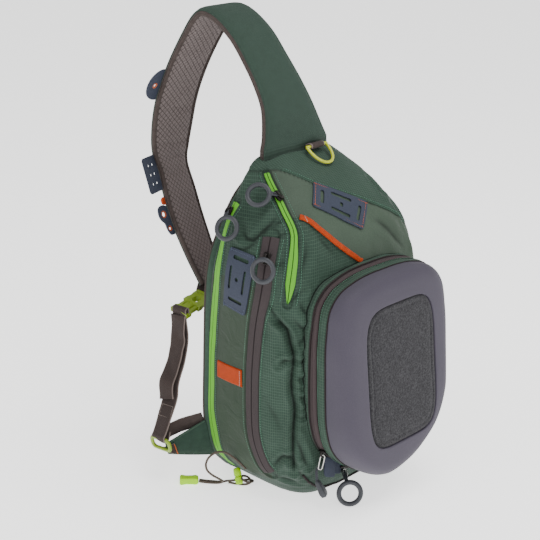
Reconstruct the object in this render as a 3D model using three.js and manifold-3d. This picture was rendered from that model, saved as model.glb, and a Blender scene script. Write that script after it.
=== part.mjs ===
// Sling pack for fishing tackle: a hollow cloth body on a padded back panel, a moulded
// pocket lid on its front, and one padded strap that loops from the yoke to a lower wing.
// Millimetres, +Z up. The origin is the middle of the flat base, -Y is the lid's side and
// +Y the wearer's side.

import * as THREE from 'three';
import { mergeVertices } from 'three/addons/utils/BufferGeometryUtils.js';
import Module from 'manifold-3d';

const wasm = await Module();
wasm.setup();

// Fits
const TOUCH = 0.3; // clearance between pieces that touch
const SKIN_LIFT = 0.6; // clearance of a thin trim over the curved cloth below it

// The cloth body and its back panel
const BAG = {
  height: 434, // floor to the top of the yoke
  halfWidth: 136, // at the rear edge, where it is widest
  axisUp: 190, // height of the line that the outline turns round
  seamBack: 66, // the seam between the cloth body and the back panel
  front: 82, // the front face, ahead of the origin
  wall: 2.4,
  panelThick: 15.7,
};
const SQUARENESS = 6; // how boxy the body's corners are
const SWELL_DEPTH = 0.3; // share of the depth over which the shoulders swell to full size
const SWELL_LEFT = 0.5; // share of the swell that is left at the front face

// Half of the body's outline, from the middle of the base to the middle of the top.
// out is a share of halfWidth, up a share of height, and swell the share by which the
// body is fuller there than at its rear seam.
const OUTLINE = [
  { out: 0.0, up: -0.042, swell: 0 },
  { out: 0.33, up: -0.04, swell: 0 },
  { out: 0.6, up: -0.02, swell: 0 },
  { out: 0.77, up: 0.026, swell: 0 },
  { out: 0.94, up: 0.097, swell: 0 },
  { out: 0.99, up: 0.17, swell: 0.01 },
  { out: 1.0, up: 0.29, swell: 0.02 },
  { out: 0.98, up: 0.452, swell: 0.04 },
  { out: 0.96, up: 0.578, swell: 0.06 },
  { out: 0.89, up: 0.714, swell: 0.12 },
  { out: 0.72, up: 0.812, swell: 0.16 },
  { out: 0.53, up: 0.889, swell: 0.15 },
  { out: 0.3, up: 0.935, swell: 0.13 },
  { out: 0.0, up: 0.949, swell: 0.105 },
];

// The front face from the floor to the yoke. up is a share of height, ahead of front.
const FRONT_FACE = [
  { up: 0.0, ahead: 1.04 },
  { up: 0.1, ahead: 1.05 },
  { up: 0.25, ahead: 1.0 },
  { up: 0.5, ahead: 0.98 },
  { up: 0.69, ahead: 0.95 },
  { up: 0.8, ahead: 0.76 },
  { up: 0.92, ahead: 0.27 },
  { up: 1.0, ahead: -0.18 },
];

// The soft dents: a long crease down the front left corner, the hollow below the side
// shoulder and the slack under the front zipper. turn is in degrees round the outline,
// deep a share of the depth, and in a share of dentDepth.
const DENT = { depth: 7, reachTurn: 16, reachDeep: 0.16 };
const DENTS = [
  { turn: -127, deep: 0.82, in: 0.9 },
  { turn: -112, deep: 0.9, in: 0.7 },
  { turn: -62, deep: 0.9, in: 0.8 },
  { turn: -45, deep: 0.84, in: 0.9 },
  { turn: 127, deep: 0.84, in: 0.9 },
  { turn: 62, deep: 0.9, in: 0.8 },
];

// The pocket on the front and its lid
const POCKET = {
  halfWidth: 104,
  floor: 37,
  height: 271,
  axisUp: 143.5, // above its own floor
  wall: 2.4,
  zipperBack: 87, // distances ahead of the origin
  zipperFront: 97,
  bandFront: 110,
  lidFront: 148, // at the height of the axis
  lidLean: 0.1, // how much further forward the lid stands for each millimetre below that
  lidWall: 3,
};
const POCKET_OUTLINE = [
  { out: 0.0, up: 0.0 },
  { out: 0.31, up: 0.012 },
  { out: 0.63, up: 0.085 },
  { out: 0.86, up: 0.19 },
  { out: 0.955, up: 0.3 },
  { out: 0.99, up: 0.445 },
  { out: 1.0, up: 0.59 },
  { out: 0.99, up: 0.775 },
  { out: 0.92, up: 0.9 },
  { out: 0.79, up: 0.95 },
  { out: 0.53, up: 0.985 },
  { out: 0.17, up: 1.0 },
  { out: 0.0, up: 1.0 },
];
const LABEL = { halfWidth: 65.5, halfHeight: 92, squareness: 5, thick: 2, recess: 2.6 };

// The lid from its open edge to its front. inward is the share of the way in from the
// pocket's outline to the label's, ahead the share of the lid's own depth.
const LID_PROFILE = [
  { inward: 0.0, ahead: 0.0 },
  { inward: 0.01, ahead: 0.36 },
  { inward: 0.07, ahead: 0.62 },
  { inward: 0.2, ahead: 0.82 },
  { inward: 0.42, ahead: 0.94 },
  { inward: 0.78, ahead: 0.99 },
  { inward: 0.985, ahead: 1.0 },
];

// The shoulder strap, as two layers
const STRAP = {
  width: 68,
  cover: 5, // outer cloth and foam
  lining: 6.5, // inner mesh and foam
  left: 94, // the left edge at its widest reach
  back: 218, // how far it stands back from the origin
  rise: 182, // above the yoke
  binding: 2.5,
  footClear: 3.1,
};

// The strap's left edge from the yoke, over the top and down to the buckle. side is a
// share of left, back of the strap's back, up of rise above the yoke and below it, wide
// of width, and turn is the way across in degrees from +X.
const STRAP_ROUTE = [
  { side: 0.61, back: 0.2, up: 0.035, wide: 1.7, turn: 0 },
  { side: 0.55, back: 0.21, up: 0.13, wide: 1.5, turn: 0 },
  { side: 0.52, back: 0.23, up: 0.31, wide: 1.24, turn: 0 },
  { side: 0.56, back: 0.27, up: 0.47, wide: 1.12, turn: 0 },
  { side: 0.61, back: 0.33, up: 0.62, wide: 1.05, turn: 0 },
  { side: 0.67, back: 0.42, up: 0.79, wide: 1.02, turn: 0 },
  { side: 0.73, back: 0.53, up: 0.91, wide: 1.0, turn: 0 },
  { side: 0.77, back: 0.63, up: 0.95, wide: 1.0, turn: 0 },
  { side: 0.8, back: 0.7, up: 0.9, wide: 1.0, turn: 0 },
  { side: 0.81, back: 0.79, up: 0.76, wide: 1.0, turn: 0 },
  { side: 0.87, back: 0.87, up: 0.58, wide: 1.0, turn: 0 },
  { side: 0.93, back: 0.93, up: 0.4, wide: 1.0, turn: 0 },
  { side: 0.97, back: 0.97, up: 0.24, wide: 1.0, turn: 0 },
  { side: 1.0, back: 0.99, up: 0.06, wide: 1.0, turn: 2 },
  { side: 0.98, back: 1.0, up: -0.12, wide: 0.98, turn: 8 },
  { side: 0.9, back: 0.99, up: -0.27, wide: 0.92, turn: 16 },
  { side: 0.88, back: 0.95, up: -0.46, wide: 0.92, turn: 13 },
  { side: 0.84, back: 0.9, up: -0.66, wide: 0.88, turn: 11 },
  { side: 0.81, back: 0.79, up: -0.89, wide: 0.78, turn: 11 },
  { side: 0.76, back: 0.69, up: -1.09, wide: 0.6, turn: 11 },
];

// Zippers and trims that follow the body. turn and deep place a point on the body, and
// back is a share of seamBack.
const ZIPPER = { thick: 1.6, main: 14, side: 22, front: 11 };
const MAIN_ZIP_PATH = [
  { turn: 38, back: 0.864 },
  { turn: 105, back: 0.864 },
  { turn: 117, back: 0.8 },
  { turn: 127, back: 0.72 },
  { turn: 144, back: 0.69 },
  { turn: 151, back: 0.61 },
];
const SIDE_ZIP_PATH = [
  { turn: -146, deep: 0.73 },
  { turn: -137, deep: 0.7 },
  { turn: -128, deep: 0.67 },
  { turn: -115, deep: 0.61 },
  { turn: -99, deep: 0.58 },
  { turn: -82, deep: 0.56 },
  { turn: -61, deep: 0.56 },
  { turn: -51, deep: 0.58 },
  { turn: -44, deep: 0.62 },
  { turn: -40, deep: 0.66 },
];
const FRONT_ZIP_PATH = [
  { turn: -161, deep: 0.68 },
  { turn: -158.5, deep: 0.77 },
  { turn: -156, deep: 0.83 },
  { turn: -153, deep: 0.88 },
  { turn: -148, deep: 0.89 },
  { turn: -139, deep: 0.89 },
  { turn: -130, deep: 0.87 },
  { turn: -127, deep: 0.86 },
];

// The orange elastic across the front. out and up are shares of halfWidth and height.
const ELASTIC = { wide: 7.5, thick: 1.4 };
const ELASTIC_PATH = [
  { out: -0.53, up: 0.862 },
  { out: -0.47, up: 0.8525 },
  { out: -0.42, up: 0.834 },
  { out: -0.392, up: 0.81 },
  { out: -0.265, up: 0.781 },
  { out: -0.096, up: 0.752 },
  { out: -0.05, up: 0.738 },
];
const SIDE_TAB = { thick: 1.6, lift: -0.3, low: 155, high: 179, deepFrom: 0.14, deepTo: 0.415 };

// The slotted patches. Corners are on the body, and each cut is a share of the patch.
const PATCH_THICK = 1.8;
const SIDE_PATCH = {
  corners: [
    { turn: -138, deep: 0.31 },
    { turn: -138, deep: 0.61 },
    { turn: -115, deep: 0.48 },
    { turn: -117, deep: 0.23 },
  ],
  cuts: [
    { left: 0.2, right: 0.8, top: 0.1, low: 0.15 },
    { left: 0.17, right: 0.24, top: 0.27, low: 0.62 },
    { left: 0.7, right: 0.77, top: 0.27, low: 0.62 },
    { left: 0.42, right: 0.52, top: 0.42, low: 0.47 },
    { left: 0.2, right: 0.8, top: 0.78, low: 0.83 },
  ],
};
const FRONT_PATCH = {
  corners: [
    { out: -0.154, up: 0.929 },
    { out: 0.324, up: 0.8525 },
    { out: 0.103, up: 0.793 },
    { out: -0.338, up: 0.88 },
  ],
  cuts: [
    { left: 0.13, right: 0.19, top: 0.25, low: 0.72 },
    { left: 0.3, right: 0.68, top: 0.16, low: 0.25 },
    { left: 0.32, right: 0.7, top: 0.72, low: 0.81 },
    { left: 0.82, right: 0.88, top: 0.28, low: 0.75 },
    { left: 0.48, right: 0.53, top: 0.42, low: 0.55 },
  ],
};

// Zipper pulls: a slider on the tape, and a moulded ring on a short neck. hang is from the
// slider's place to the ring's middle, and seat brings the neck's end closer to the slider.
const PULL = { ringOuter: 16.2, ringWire: 2.6, sides: 12, neckWide: 6, neckThick: 4 };
const SLIDER = { wide: 8, long: 13, tall: 5 };
const PULLS = [
  { name: 'main', hang: [-22.5, -15.3, -11.5], face: [-0.86, -0.3, 0.42], seat: 0 },
  { name: 'front', hang: [-23.3, 10.1, 5.8], face: [-0.66, -0.42, 0.62], seat: 0 },
  { name: 'side', hang: [-20.2, -13.7, -7], face: [-0.9, -0.35, 0.26], seat: 1.2 },
  { name: 'pocket', hang: [-14.5, -25, -26.7], face: [-0.6, -0.76, 0.25], seat: 0 },
];

// The toggle that hangs from the pocket's second slider. share is of its wide and thick.
const TOGGLE = { top: [-95, -84, 47], low: [-88, -98.7, 17.6], wide: 9, thick: 6, turn: -39, cord: 2.6 };
const TOGGLE_ROWS = [
  { at: 0, share: 0.5 },
  { at: 0.17, share: 0.62 },
  { at: 0.33, share: 0.55 },
  { at: 0.5, share: 0.7 },
  { at: 0.67, share: 1 },
  { at: 0.83, share: 1.05 },
  { at: 1, share: 0.8 },
];

// D-ring on the yoke
const D_RING = { wide: 36, deep: 29, wire: 2, x: 26, back: 30, sleeve: 24, flap: 4.5 };

// Tabs on the strap's outer edge. at is the share of the strap's route.
const TAB = { thick: 1.8, clear: 0.8, eyelet: 1.4 };
const ROUND_TAB = { at: 0.579, radius: 22, hole: 2.2, holeOut: 9 };
const HOLE_FLAP = { at: 0.789, along: 50, out: 30, hole: 2, pitchOut: 9, pitchAlong: 13 };
const LOOP_TAB = { at: 0.848, along: 10, out: 5 };
const DOUBLE_TAB = { at: 0.886, along: 40, out: 20, bigHole: 3.4, smallHole: 2.2 };

// Buckle, webbing, ring and wing at the lower left
const BUCKLE = {
  length: 56,
  width: 29,
  thick: 9,
  hang: [-56.6, -18.4, -18.6], // from the strap's end to the end that holds the webbing
  along: [63, 9, 8],
  across: [4.2, -24, -6],
  split: 0.52, // share of the length that the socket takes
};
const WEBBING = { width: 24, thick: 1.8 };

// The webbing's way down from the buckle to its ring, in shares of how far that is down.
// spare is how far its loose end stands off from it.
const WEBBING_ROUTE = [
  { down: 0.0191, out: 0.0157, back: 0.0001, spare: 0.5 },
  { down: 0.2407, out: 0.1015, back: 0.0278, spare: 3.4 },
  { down: 0.4136, out: 0.1038, back: 0.0381, spare: 5.3 },
  { down: 0.5617, out: 0.0661, back: 0.0319, spare: 7.2 },
  { down: 0.6728, out: 0.0517, back: 0.0195, spare: 3.8 },
  { down: 0.7963, out: -0.0014, back: -0.0031 },
  { down: 0.9099, out: -0.0476, back: -0.0119 },
];
const WING_RING = { centre: [-188, 105, 55], wide: 34, tall: 20, wire: 2.6 };
const WING = {
  thick: 8,
  rootClear: 2.2,
  rootBack: 74,
  rootLow: 26,
  rootHigh: 82,
  tipOut: 180.1,
  tipBack: 99,
};
const WING_TIP = { low: 40, high: 55, lean: 4 };
const WING_SECTION = [
  { up: 0, full: 0.5 },
  { up: 0.12, full: 1 },
  { up: 0.5, full: 1.15 },
  { up: 0.88, full: 1 },
  { up: 1, full: 0.5 },
];
const WING_STRAP = { width: 20, thick: 1.8 };

// Elastic drawcord at the foot of the main zipper. These points are chosen one by one.
const CORD = { radius: 1.5 };
const CORD_ROUTE = [
  [-121, 13, 27],
  [-127, 18, 36],
  [-136, 24, 47],
  [-146, 28, 55],
  [-156, 32, 57],
  [-165, 36, 52],
  [-169, 38, 43],
  [-167, 38, 33],
  [-160, 37, 24],
  [-151, 36, 16],
  [-143, 36, 9],
  [-139, 39, 4.5],
  [-141, 43, 2.2],
  [-146, 48, 1.9],
  [-153, 55, 2.6],
  [-160.5, 62.5, 4.2],
];
const TAIL_ROUTE = [
  [-131.2, 25.8, 8.7],
  [-134, 37, 4.5],
  [-137, 42.5, 2.2],
  [-142, 50, 1.9],
  [-149, 57.5, 2.6],
  [-157, 65.5, 4.2],
];
const CORD_END = { width: 11, tall: 9 };
const CORD_END_ROWS = [
  { at: 0.4, share: 0.8 },
  { at: 4, share: 0.95 },
  { at: 14, share: 0.8 },
  { at: 24, share: 1 },
];
const CORD_LOCK = { foot: [-127.5, 18, 4.6], head: [-122, 30, 22], radius: 5.4 };
const CORD_LOCK_ROWS = [
  { at: 0, share: 0.7 },
  { at: 0.17, share: 1 },
  { at: 0.38, share: 1 },
  { at: 0.5, share: 0.86 },
  { at: 0.62, share: 1 },
  { at: 0.83, share: 0.95 },
  { at: 1, share: 0.7 },
];

const COLOURS = {
  cloth: [0x3f5c4b, 0.85],
  clothFront: [0x5b6b58, 0.85],
  panel: [0x4a5a50, 0.9],
  lime: [0x78b24e, 0.7],
  zipper: [0x5a5052, 0.7],
  lid: [0x6e6a76, 0.6],
  felt: [0x4c4a4d, 0.95],
  rubber: [0x4a5161, 0.7],
  orange: [0xc2552c, 0.75],
  buckle: [0x8aa832, 0.45],
  dRing: [0xb3bf2f, 0.4],
  webbing: [0x4b423f, 0.8],
  mesh: [0x82766f, 0.9],
  moulded: [0x50535b, 0.5],
  cordEnd: [0xa6e22e, 0.4],
  metal: [0x2c2c30, 0.35],
};

const model = new THREE.Group();
const mix = (a, b, t) => a + (b - a) * t;
const vector = (x, y, z) => new THREE.Vector3(x, y, z);
const vectorOf = (list) => new THREE.Vector3(...list);

function addPiece(name, geometry, colour) {
  const [hex, roughness] = COLOURS[colour];
  const metalness = colour === 'metal' ? 0.9 : 0;
  const material = new THREE.MeshStandardMaterial({ color: hex, roughness, metalness });
  const mesh = new THREE.Mesh(geometry, material);
  mesh.name = name;
  model.add(mesh);
  return mesh;
}

// A smooth value between the rows of a table, level at both of its ends
function smooth(rows, key, value) {
  const slopeAt = (i) => {
    if (i === 0 || i === rows.length - 1) return 0;
    const before = rows[i][key] - rows[i - 1][key];
    const after = rows[i + 1][key] - rows[i][key];
    const fall = (rows[i][value] - rows[i - 1][value]) / before;
    const climb = (rows[i + 1][value] - rows[i][value]) / after;
    return (fall * after + climb * before) / (before + after);
  };
  return (at) => {
    if (at <= rows[0][key]) return rows[0][value];
    if (at >= rows.at(-1)[key]) return rows.at(-1)[value];
    const i = rows.findIndex((row, n) => at < rows[n + 1][key]);
    const span = rows[i + 1][key] - rows[i][key];
    const t = (at - rows[i][key]) / span;
    const ease = t * t * (3 - 2 * t);
    const leave = slopeAt(i) * span * t * (1 - t) ** 2;
    const arrive = slopeAt(i + 1) * span * t * t * (1 - t);
    return rows[i][value] + (rows[i + 1][value] - rows[i][value]) * ease + leave - arrive;
  };
}

// Rows in shares made polar, as a turn from straight down and a reach from the axis
function polarRows(rows, halfWidth, height, axisUp) {
  return rows.map((row) => {
    const x = row.out * halfWidth;
    const z = row.up * height - axisUp;
    return { ...row, turn: THREE.MathUtils.radToDeg(Math.atan2(x, -z)), reach: Math.hypot(x, z) };
  });
}

const bodyRows = polarRows(OUTLINE, BAG.halfWidth, BAG.height, BAG.axisUp);
const bodyReach = smooth(bodyRows, 'turn', 'reach');
const bodySwell = smooth(bodyRows, 'turn', 'swell');
const frontFace = smooth(FRONT_FACE, 'up', 'ahead');

const bodyDepth = (z) => BAG.seamBack + BAG.front * frontFace(Math.max(z, 0) / BAG.height);

// How far the body reaches from its axis at a turn, deep being the share of its depth
function reachAt(turn, deep) {
  const grown = 1 - (1 - Math.min(deep / SWELL_DEPTH, 1)) ** 2;
  const past = THREE.MathUtils.clamp((deep - SWELL_DEPTH) / (1 - SWELL_DEPTH), 0, 1);
  const share = grown * mix(1, SWELL_LEFT, past);
  return bodyReach(Math.abs(turn)) * (1 + bodySwell(Math.abs(turn)) * share);
}

const roundOff = (share) => (1 - Math.min(share, 1) ** SQUARENESS) ** (1 / SQUARENESS);

function dentAt(turn, deep) {
  let sum = 0;
  for (const row of DENTS) {
    const away = Math.hypot((turn - row.turn) / DENT.reachTurn, (deep - row.deep) / DENT.reachDeep);
    if (away < 1) sum += row.in * DENT.depth * (1 - away * away) ** 2;
  }
  return sum;
}

// A point of the body's surface, or of a surface inset from it
function bodyPoint(turn, deep, inset = 0) {
  const angle = THREE.MathUtils.degToRad(turn);
  const reach = roundOff(deep) * (reachAt(turn, deep) - inset - dentAt(turn, deep));
  const z = Math.max(BAG.axisUp - reach * Math.cos(angle), inset);
  const y = BAG.seamBack - (bodyDepth(z) - inset) * deep;
  return vector(reach * Math.sin(angle), y, z);
}

// Zero on the body's surface, and growing outwards from it
function bodyField(point) {
  const deep = (BAG.seamBack - point.y) / bodyDepth(point.z);
  const turn = THREE.MathUtils.radToDeg(Math.atan2(point.x, BAG.axisUp - point.z));
  const reach = reachAt(turn, Math.max(deep, 0)) - dentAt(turn, deep);
  const across = Math.hypot(point.x, BAG.axisUp - point.z) / reach;
  return across ** SQUARENESS + Math.abs(deep) ** SQUARENESS - 1;
}

function bodySlope(point) {
  const step = 0.5;
  const along = (x, y, z) => {
    const shift = vector(x, y, z).multiplyScalar(step);
    const ahead = bodyField(point.clone().add(shift));
    const behind = bodyField(point.clone().sub(shift));
    return (ahead - behind) / (2 * step);
  };
  return vector(along(1, 0, 0), along(0, 1, 0), along(0, 0, 1));
}

// A nearby point moved on to the body, with the way out of the body there
function settle(point, lift = 0) {
  const settled = point.clone();
  let slope = bodySlope(settled);
  for (let pass = 0; pass < 6; pass += 1) {
    const size = slope.length();
    const reach = THREE.MathUtils.clamp(bodyField(settled) / size, -6, 6);
    settled.addScaledVector(slope, -reach / size);
    slope = bodySlope(settled);
  }
  const outward = slope.normalize();
  settled.addScaledVector(outward, lift);
  return { point: settled, outward };
}

// The body's front face at a place seen from the front
function frontPoint(x, z) {
  const turn = THREE.MathUtils.radToDeg(Math.atan2(x, BAG.axisUp - z));
  const far = Math.hypot(x, BAG.axisUp - z);
  let deep = 1;
  for (let pass = 0; pass < 4; pass += 1) deep = roundOff(far / reachAt(turn, deep));
  return vector(x, BAG.seamBack - bodyDepth(z) * deep, z);
}

// Triangles as a geometry whose faces point out
function closedGeometry(points, triangles) {
  const corner = triangles.map((triangle) => triangle.map((i) => points[i]));
  const volume = corner.reduce((sum, [a, b, c]) => sum + a.dot(b.clone().cross(c)), 0);
  const order = volume < 0 ? [0, 2, 1] : [0, 1, 2];
  const geometry = new THREE.BufferGeometry();
  const numbers = points.flatMap((point) => [point.x, point.y, point.z]);
  geometry.setAttribute('position', new THREE.Float32BufferAttribute(numbers, 3));
  geometry.setIndex(triangles.flatMap((triangle) => order.map((i) => triangle[i])));
  geometry.computeVertexNormals();
  return geometry;
}

// A skin over rings of points that ends in caps, or runs round to its first ring. A cap
// is a row of strips between the two halves of its ring.
function loft(rings, looped = false) {
  const count = rings[0].length;
  const triangles = [];
  const last = looped ? rings.length : rings.length - 1;
  for (let i = 0; i < last; i += 1) {
    const here = i * count;
    const next = ((i + 1) % rings.length) * count;
    for (let j = 0; j < count; j += 1) {
      const k = (j + 1) % count;
      triangles.push([here + j, here + k, next + k], [here + j, next + k, next + j]);
    }
  }
  if (!looped) {
    const end = (rings.length - 1) * count;
    for (let j = 0; j < count / 2 - 1; j += 1) {
      const [a, b, c, d] = [j, j + 1, count - 2 - j, count - 1 - j];
      triangles.push([b, a, c], [c, a, d]);
      triangles.push([end + a, end + b, end + c], [end + a, end + c, end + d]);
    }
  }
  return closedGeometry(
    rings.flat(),
    triangles.filter(([a, b, c]) => a !== b && b !== c && c !== a),
  );
}

function toSolid(geometry) {
  const bare = geometry.clone();
  for (const name of Object.keys(bare.attributes)) {
    if (name !== 'position') bare.deleteAttribute(name);
  }
  const merged = mergeVertices(bare, 1e-4);
  const mesh = new wasm.Mesh({
    numProp: 3,
    vertProperties: new Float32Array(merged.attributes.position.array),
    triVerts: new Uint32Array(merged.index.array),
  });
  return new wasm.Manifold(mesh);
}

function fromSolid(solid) {
  const mesh = solid.getMesh();
  const geometry = new THREE.BufferGeometry();
  geometry.setAttribute('position', new THREE.BufferAttribute(mesh.vertProperties, 3));
  geometry.setIndex(new THREE.BufferAttribute(mesh.triVerts, 1));
  geometry.computeVertexNormals();
  return geometry;
}

// Several shapes joined as one body
function joined(...geometries) {
  const solids = geometries.map(toSolid);
  return fromSolid(solids.reduce((whole, solid) => whole.add(solid)));
}

const steps = (count) => Array.from({ length: count }, (nothing, i) => i);
const between = (from, to, count) => steps(count + 1).map((i) => from + ((to - from) * i) / count);

// Turns spaced evenly along the outline
function evenTurns(reach, count) {
  const fine = between(-180, 180, 720);
  const spot = (turn) => {
    const angle = THREE.MathUtils.degToRad(turn);
    const far = reach(Math.abs(turn));
    return new THREE.Vector2(far * Math.sin(angle), far * Math.cos(angle));
  };
  const lengths = [0];
  for (let i = 1; i < fine.length; i += 1) {
    lengths.push(lengths[i - 1] + spot(fine[i]).distanceTo(spot(fine[i - 1])));
  }
  return steps(count).map((i) => {
    const goal = (lengths.at(-1) * i) / count;
    return fine[lengths.findIndex((length) => length >= goal)];
  });
}

// A flat band that lies on the body along a path of rows
function bandOnBody(centres, wide, thick, acrossCount, lift = SKIN_LIFT) {
  const rings = centres.map((centre, i) => {
    const before = centres[Math.max(i - 1, 0)];
    const after = centres[Math.min(i + 1, centres.length - 1)];
    const { outward } = settle(centre);
    const sideways = after.clone().sub(before).normalize().cross(outward).normalize();
    const lower = [];
    const upper = [];
    for (const share of between(-0.5, 0.5, acrossCount)) {
      const spot = settle(centre.clone().addScaledVector(sideways, share * wide));
      lower.push(spot.point.clone().addScaledVector(spot.outward, lift));
      upper.push(spot.point.clone().addScaledVector(spot.outward, lift + thick));
    }
    return [...lower, ...upper.reverse()];
  });
  return loft(rings);
}

function pathOnBody(rows, count) {
  const curve = new THREE.CatmullRomCurve3(rows.map((row) => bodyPoint(row.turn, row.deep)));
  return curve.getSpacedPoints(count).map((point) => settle(point).point);
}

// A plate on the body with straight cuts through it. place gives a point from shares.
function slottedPlate(place, cuts, thick, fill) {
  const lines = (low, high) => {
    const edges = [0, 1, ...cuts.flatMap((cut) => [cut[low], cut[high]])];
    const sorted = [...new Set(edges)].sort((a, b) => a - b);
    return sorted.flatMap((edge, i) => {
      if (i === 0) return [edge];
      const parts = Math.ceil((edge - sorted[i - 1]) / fill);
      return between(sorted[i - 1], edge, parts).slice(1);
    });
  };
  const us = lines('left', 'right');
  const vs = lines('top', 'low');
  const isOpen = (i, j) => {
    if (i < 0 || j < 0 || i >= us.length - 1 || j >= vs.length - 1) return true;
    const u = (us[i] + us[i + 1]) / 2;
    const v = (vs[j] + vs[j + 1]) / 2;
    return cuts.some((cut) => u > cut.left && u < cut.right && v > cut.top && v < cut.low);
  };
  const points = [];
  for (const level of [0, 1]) {
    for (const v of vs) {
      for (const u of us) {
        const { point, outward } = place(u, v);
        points.push(point.clone().addScaledVector(outward, SKIN_LIFT + level * thick));
      }
    }
  }
  const index = (level, i, j) => (level * vs.length + j) * us.length + i;
  const triangles = [];
  const quad = (a, b, c, d) => triangles.push([a, b, c], [a, c, d]);
  for (let j = 0; j < vs.length - 1; j += 1) {
    for (let i = 0; i < us.length - 1; i += 1) {
      if (isOpen(i, j)) continue;
      quad(index(1, i, j), index(1, i + 1, j), index(1, i + 1, j + 1), index(1, i, j + 1));
      quad(index(0, i, j), index(0, i, j + 1), index(0, i + 1, j + 1), index(0, i + 1, j));
      const sides = [
        [i, j - 1, i, j, i + 1, j],
        [i + 1, j, i + 1, j, i + 1, j + 1],
        [i, j + 1, i + 1, j + 1, i, j + 1],
        [i - 1, j, i, j + 1, i, j],
      ];
      for (const [nextI, nextJ, fromI, fromJ, toI, toJ] of sides) {
        if (!isOpen(nextI, nextJ)) continue;
        quad(index(0, fromI, fromJ), index(0, toI, toJ), index(1, toI, toJ), index(1, fromI, fromJ));
      }
    }
  }
  return closedGeometry(points, triangles);
}

function blendCorners(corners, keys, u, v) {
  const [a, b, c, d] = corners;
  return keys.map((key) => mix(mix(a[key], b[key], u), mix(d[key], c[key], u), v));
}

// A closed ring of round wire along an outline in its own plane
function wireLoop(outline, wire, sides, axes, centre) {
  const [right, up, out] = axes;
  const rings = outline.map((spot, i) => {
    const before = outline[(i + outline.length - 1) % outline.length];
    const after = outline[(i + 1) % outline.length];
    const along = after.clone().sub(before).normalize();
    const aside = new THREE.Vector2(along.y, -along.x);
    return steps(sides).map((j) => {
      const angle = (2 * Math.PI * j) / sides;
      const flat = spot.clone().addScaledVector(aside, wire * Math.cos(angle));
      return centre
        .clone()
        .addScaledVector(right, flat.x)
        .addScaledVector(up, flat.y)
        .addScaledVector(out, wire * Math.sin(angle));
    });
  });
  return loft(rings, true);
}

// An outline in its own plane given a thickness, centred on a place and three ways
function placeFlat(shape, thick, axes, centre, roundSteps = 10) {
  const options = { depth: thick, bevelEnabled: false, curveSegments: roundSteps };
  const geometry = new THREE.ExtrudeGeometry(shape, options);
  geometry.translate(0, 0, -thick / 2);
  const matrix = new THREE.Matrix4().makeBasis(...axes).setPosition(centre);
  geometry.applyMatrix4(matrix);
  return geometry;
}

function roundedRectangle(wide, tall, radius) {
  const shape = new THREE.Shape();
  const x = wide / 2 - radius;
  const y = tall / 2 - radius;
  shape.absarc(x, y, radius, 0, Math.PI / 2);
  shape.absarc(-x, y, radius, Math.PI / 2, Math.PI);
  shape.absarc(-x, -y, radius, Math.PI, 1.5 * Math.PI);
  shape.absarc(x, -y, radius, 1.5 * Math.PI, 2 * Math.PI);
  return shape;
}

// Three square ways, the third facing along face and the second as near up as it can be
function axesFacing(face, up) {
  const out = face.clone().normalize();
  const right = up.clone().cross(out).normalize();
  return [right, out.clone().cross(right), out];
}

// Cloth body: a cup that is open to the rear
function bodyShell() {
  const turns = evenTurns(bodyReach, 42);
  const slopes = [0, 7, ...between(18, 66, 4), 76, 84, 89].map(THREE.MathUtils.degToRad);
  const deeps = slopes.map((slope) => Math.sin(slope) ** (2 / SQUARENESS));
  const ring = (inset) => (deep) => turns.map((turn) => bodyPoint(turn, deep, inset));
  const inner = deeps.map(ring(BAG.wall)).reverse();
  const outer = deeps.map(ring(0));
  return loft([...inner, ...outer]);
}

// Padded back panel: a plate with the body's outline and a soft rear edge
function backPanel() {
  const turns = evenTurns(bodyReach, 42);
  const rows = [
    { back: TOUCH, inset: 0 },
    { back: BAG.panelThick * 0.5, inset: -0.8 },
    { back: BAG.panelThick * 0.85, inset: 1.6 },
    { back: BAG.panelThick, inset: 6 },
  ];
  const rings = rows.map((row) =>
    turns.map((turn) => {
      const point = bodyPoint(turn, 0, row.inset);
      const z = row.inset > 0 && point.z <= row.inset ? 0 : Math.max(point.z, 0);
      return vector(point.x, BAG.seamBack + row.back, z);
    }),
  );
  return loft(rings);
}

addPiece('body_shell', bodyShell(), 'cloth');
addPiece('back_panel', backPanel(), 'panel');

// Zippers, elastic and tab on the body
const mainZipBack = smooth(MAIN_ZIP_PATH, 'turn', 'back');
function mainZip(side) {
  const turns = between(MAIN_ZIP_PATH[0].turn, MAIN_ZIP_PATH.at(-1).turn, 24);
  const centres = turns.map((turn) => {
    const back = BAG.seamBack * mainZipBack(turn);
    const rough = bodyPoint(side * turn, (BAG.seamBack - back) / BAG.seamBack / 2);
    return settle(vector(rough.x, back, rough.z)).point;
  });
  return bandOnBody(centres, ZIPPER.main, ZIPPER.thick, 2);
}
addPiece('main_zip_left', mainZip(-1), 'lime');
addPiece('main_zip_right', mainZip(1), 'lime');
const sideZipPath = pathOnBody(SIDE_ZIP_PATH, 24);
addPiece('side_zip', bandOnBody(sideZipPath, ZIPPER.side, ZIPPER.thick, 3), 'zipper');
const frontZipPath = pathOnBody(FRONT_ZIP_PATH, 16);
addPiece('front_zip', bandOnBody(frontZipPath, ZIPPER.front, ZIPPER.thick, 2), 'lime');

const elasticSpots = ELASTIC_PATH.map((row) =>
  frontPoint(row.out * BAG.halfWidth, row.up * BAG.height),
);
const elasticCurve = new THREE.CatmullRomCurve3(elasticSpots);
const elasticPath = elasticCurve.getSpacedPoints(13).map((point) => settle(point).point);
addPiece('elastic_ribbon', bandOnBody(elasticPath, ELASTIC.wide, ELASTIC.thick, 2), 'orange');

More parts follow.
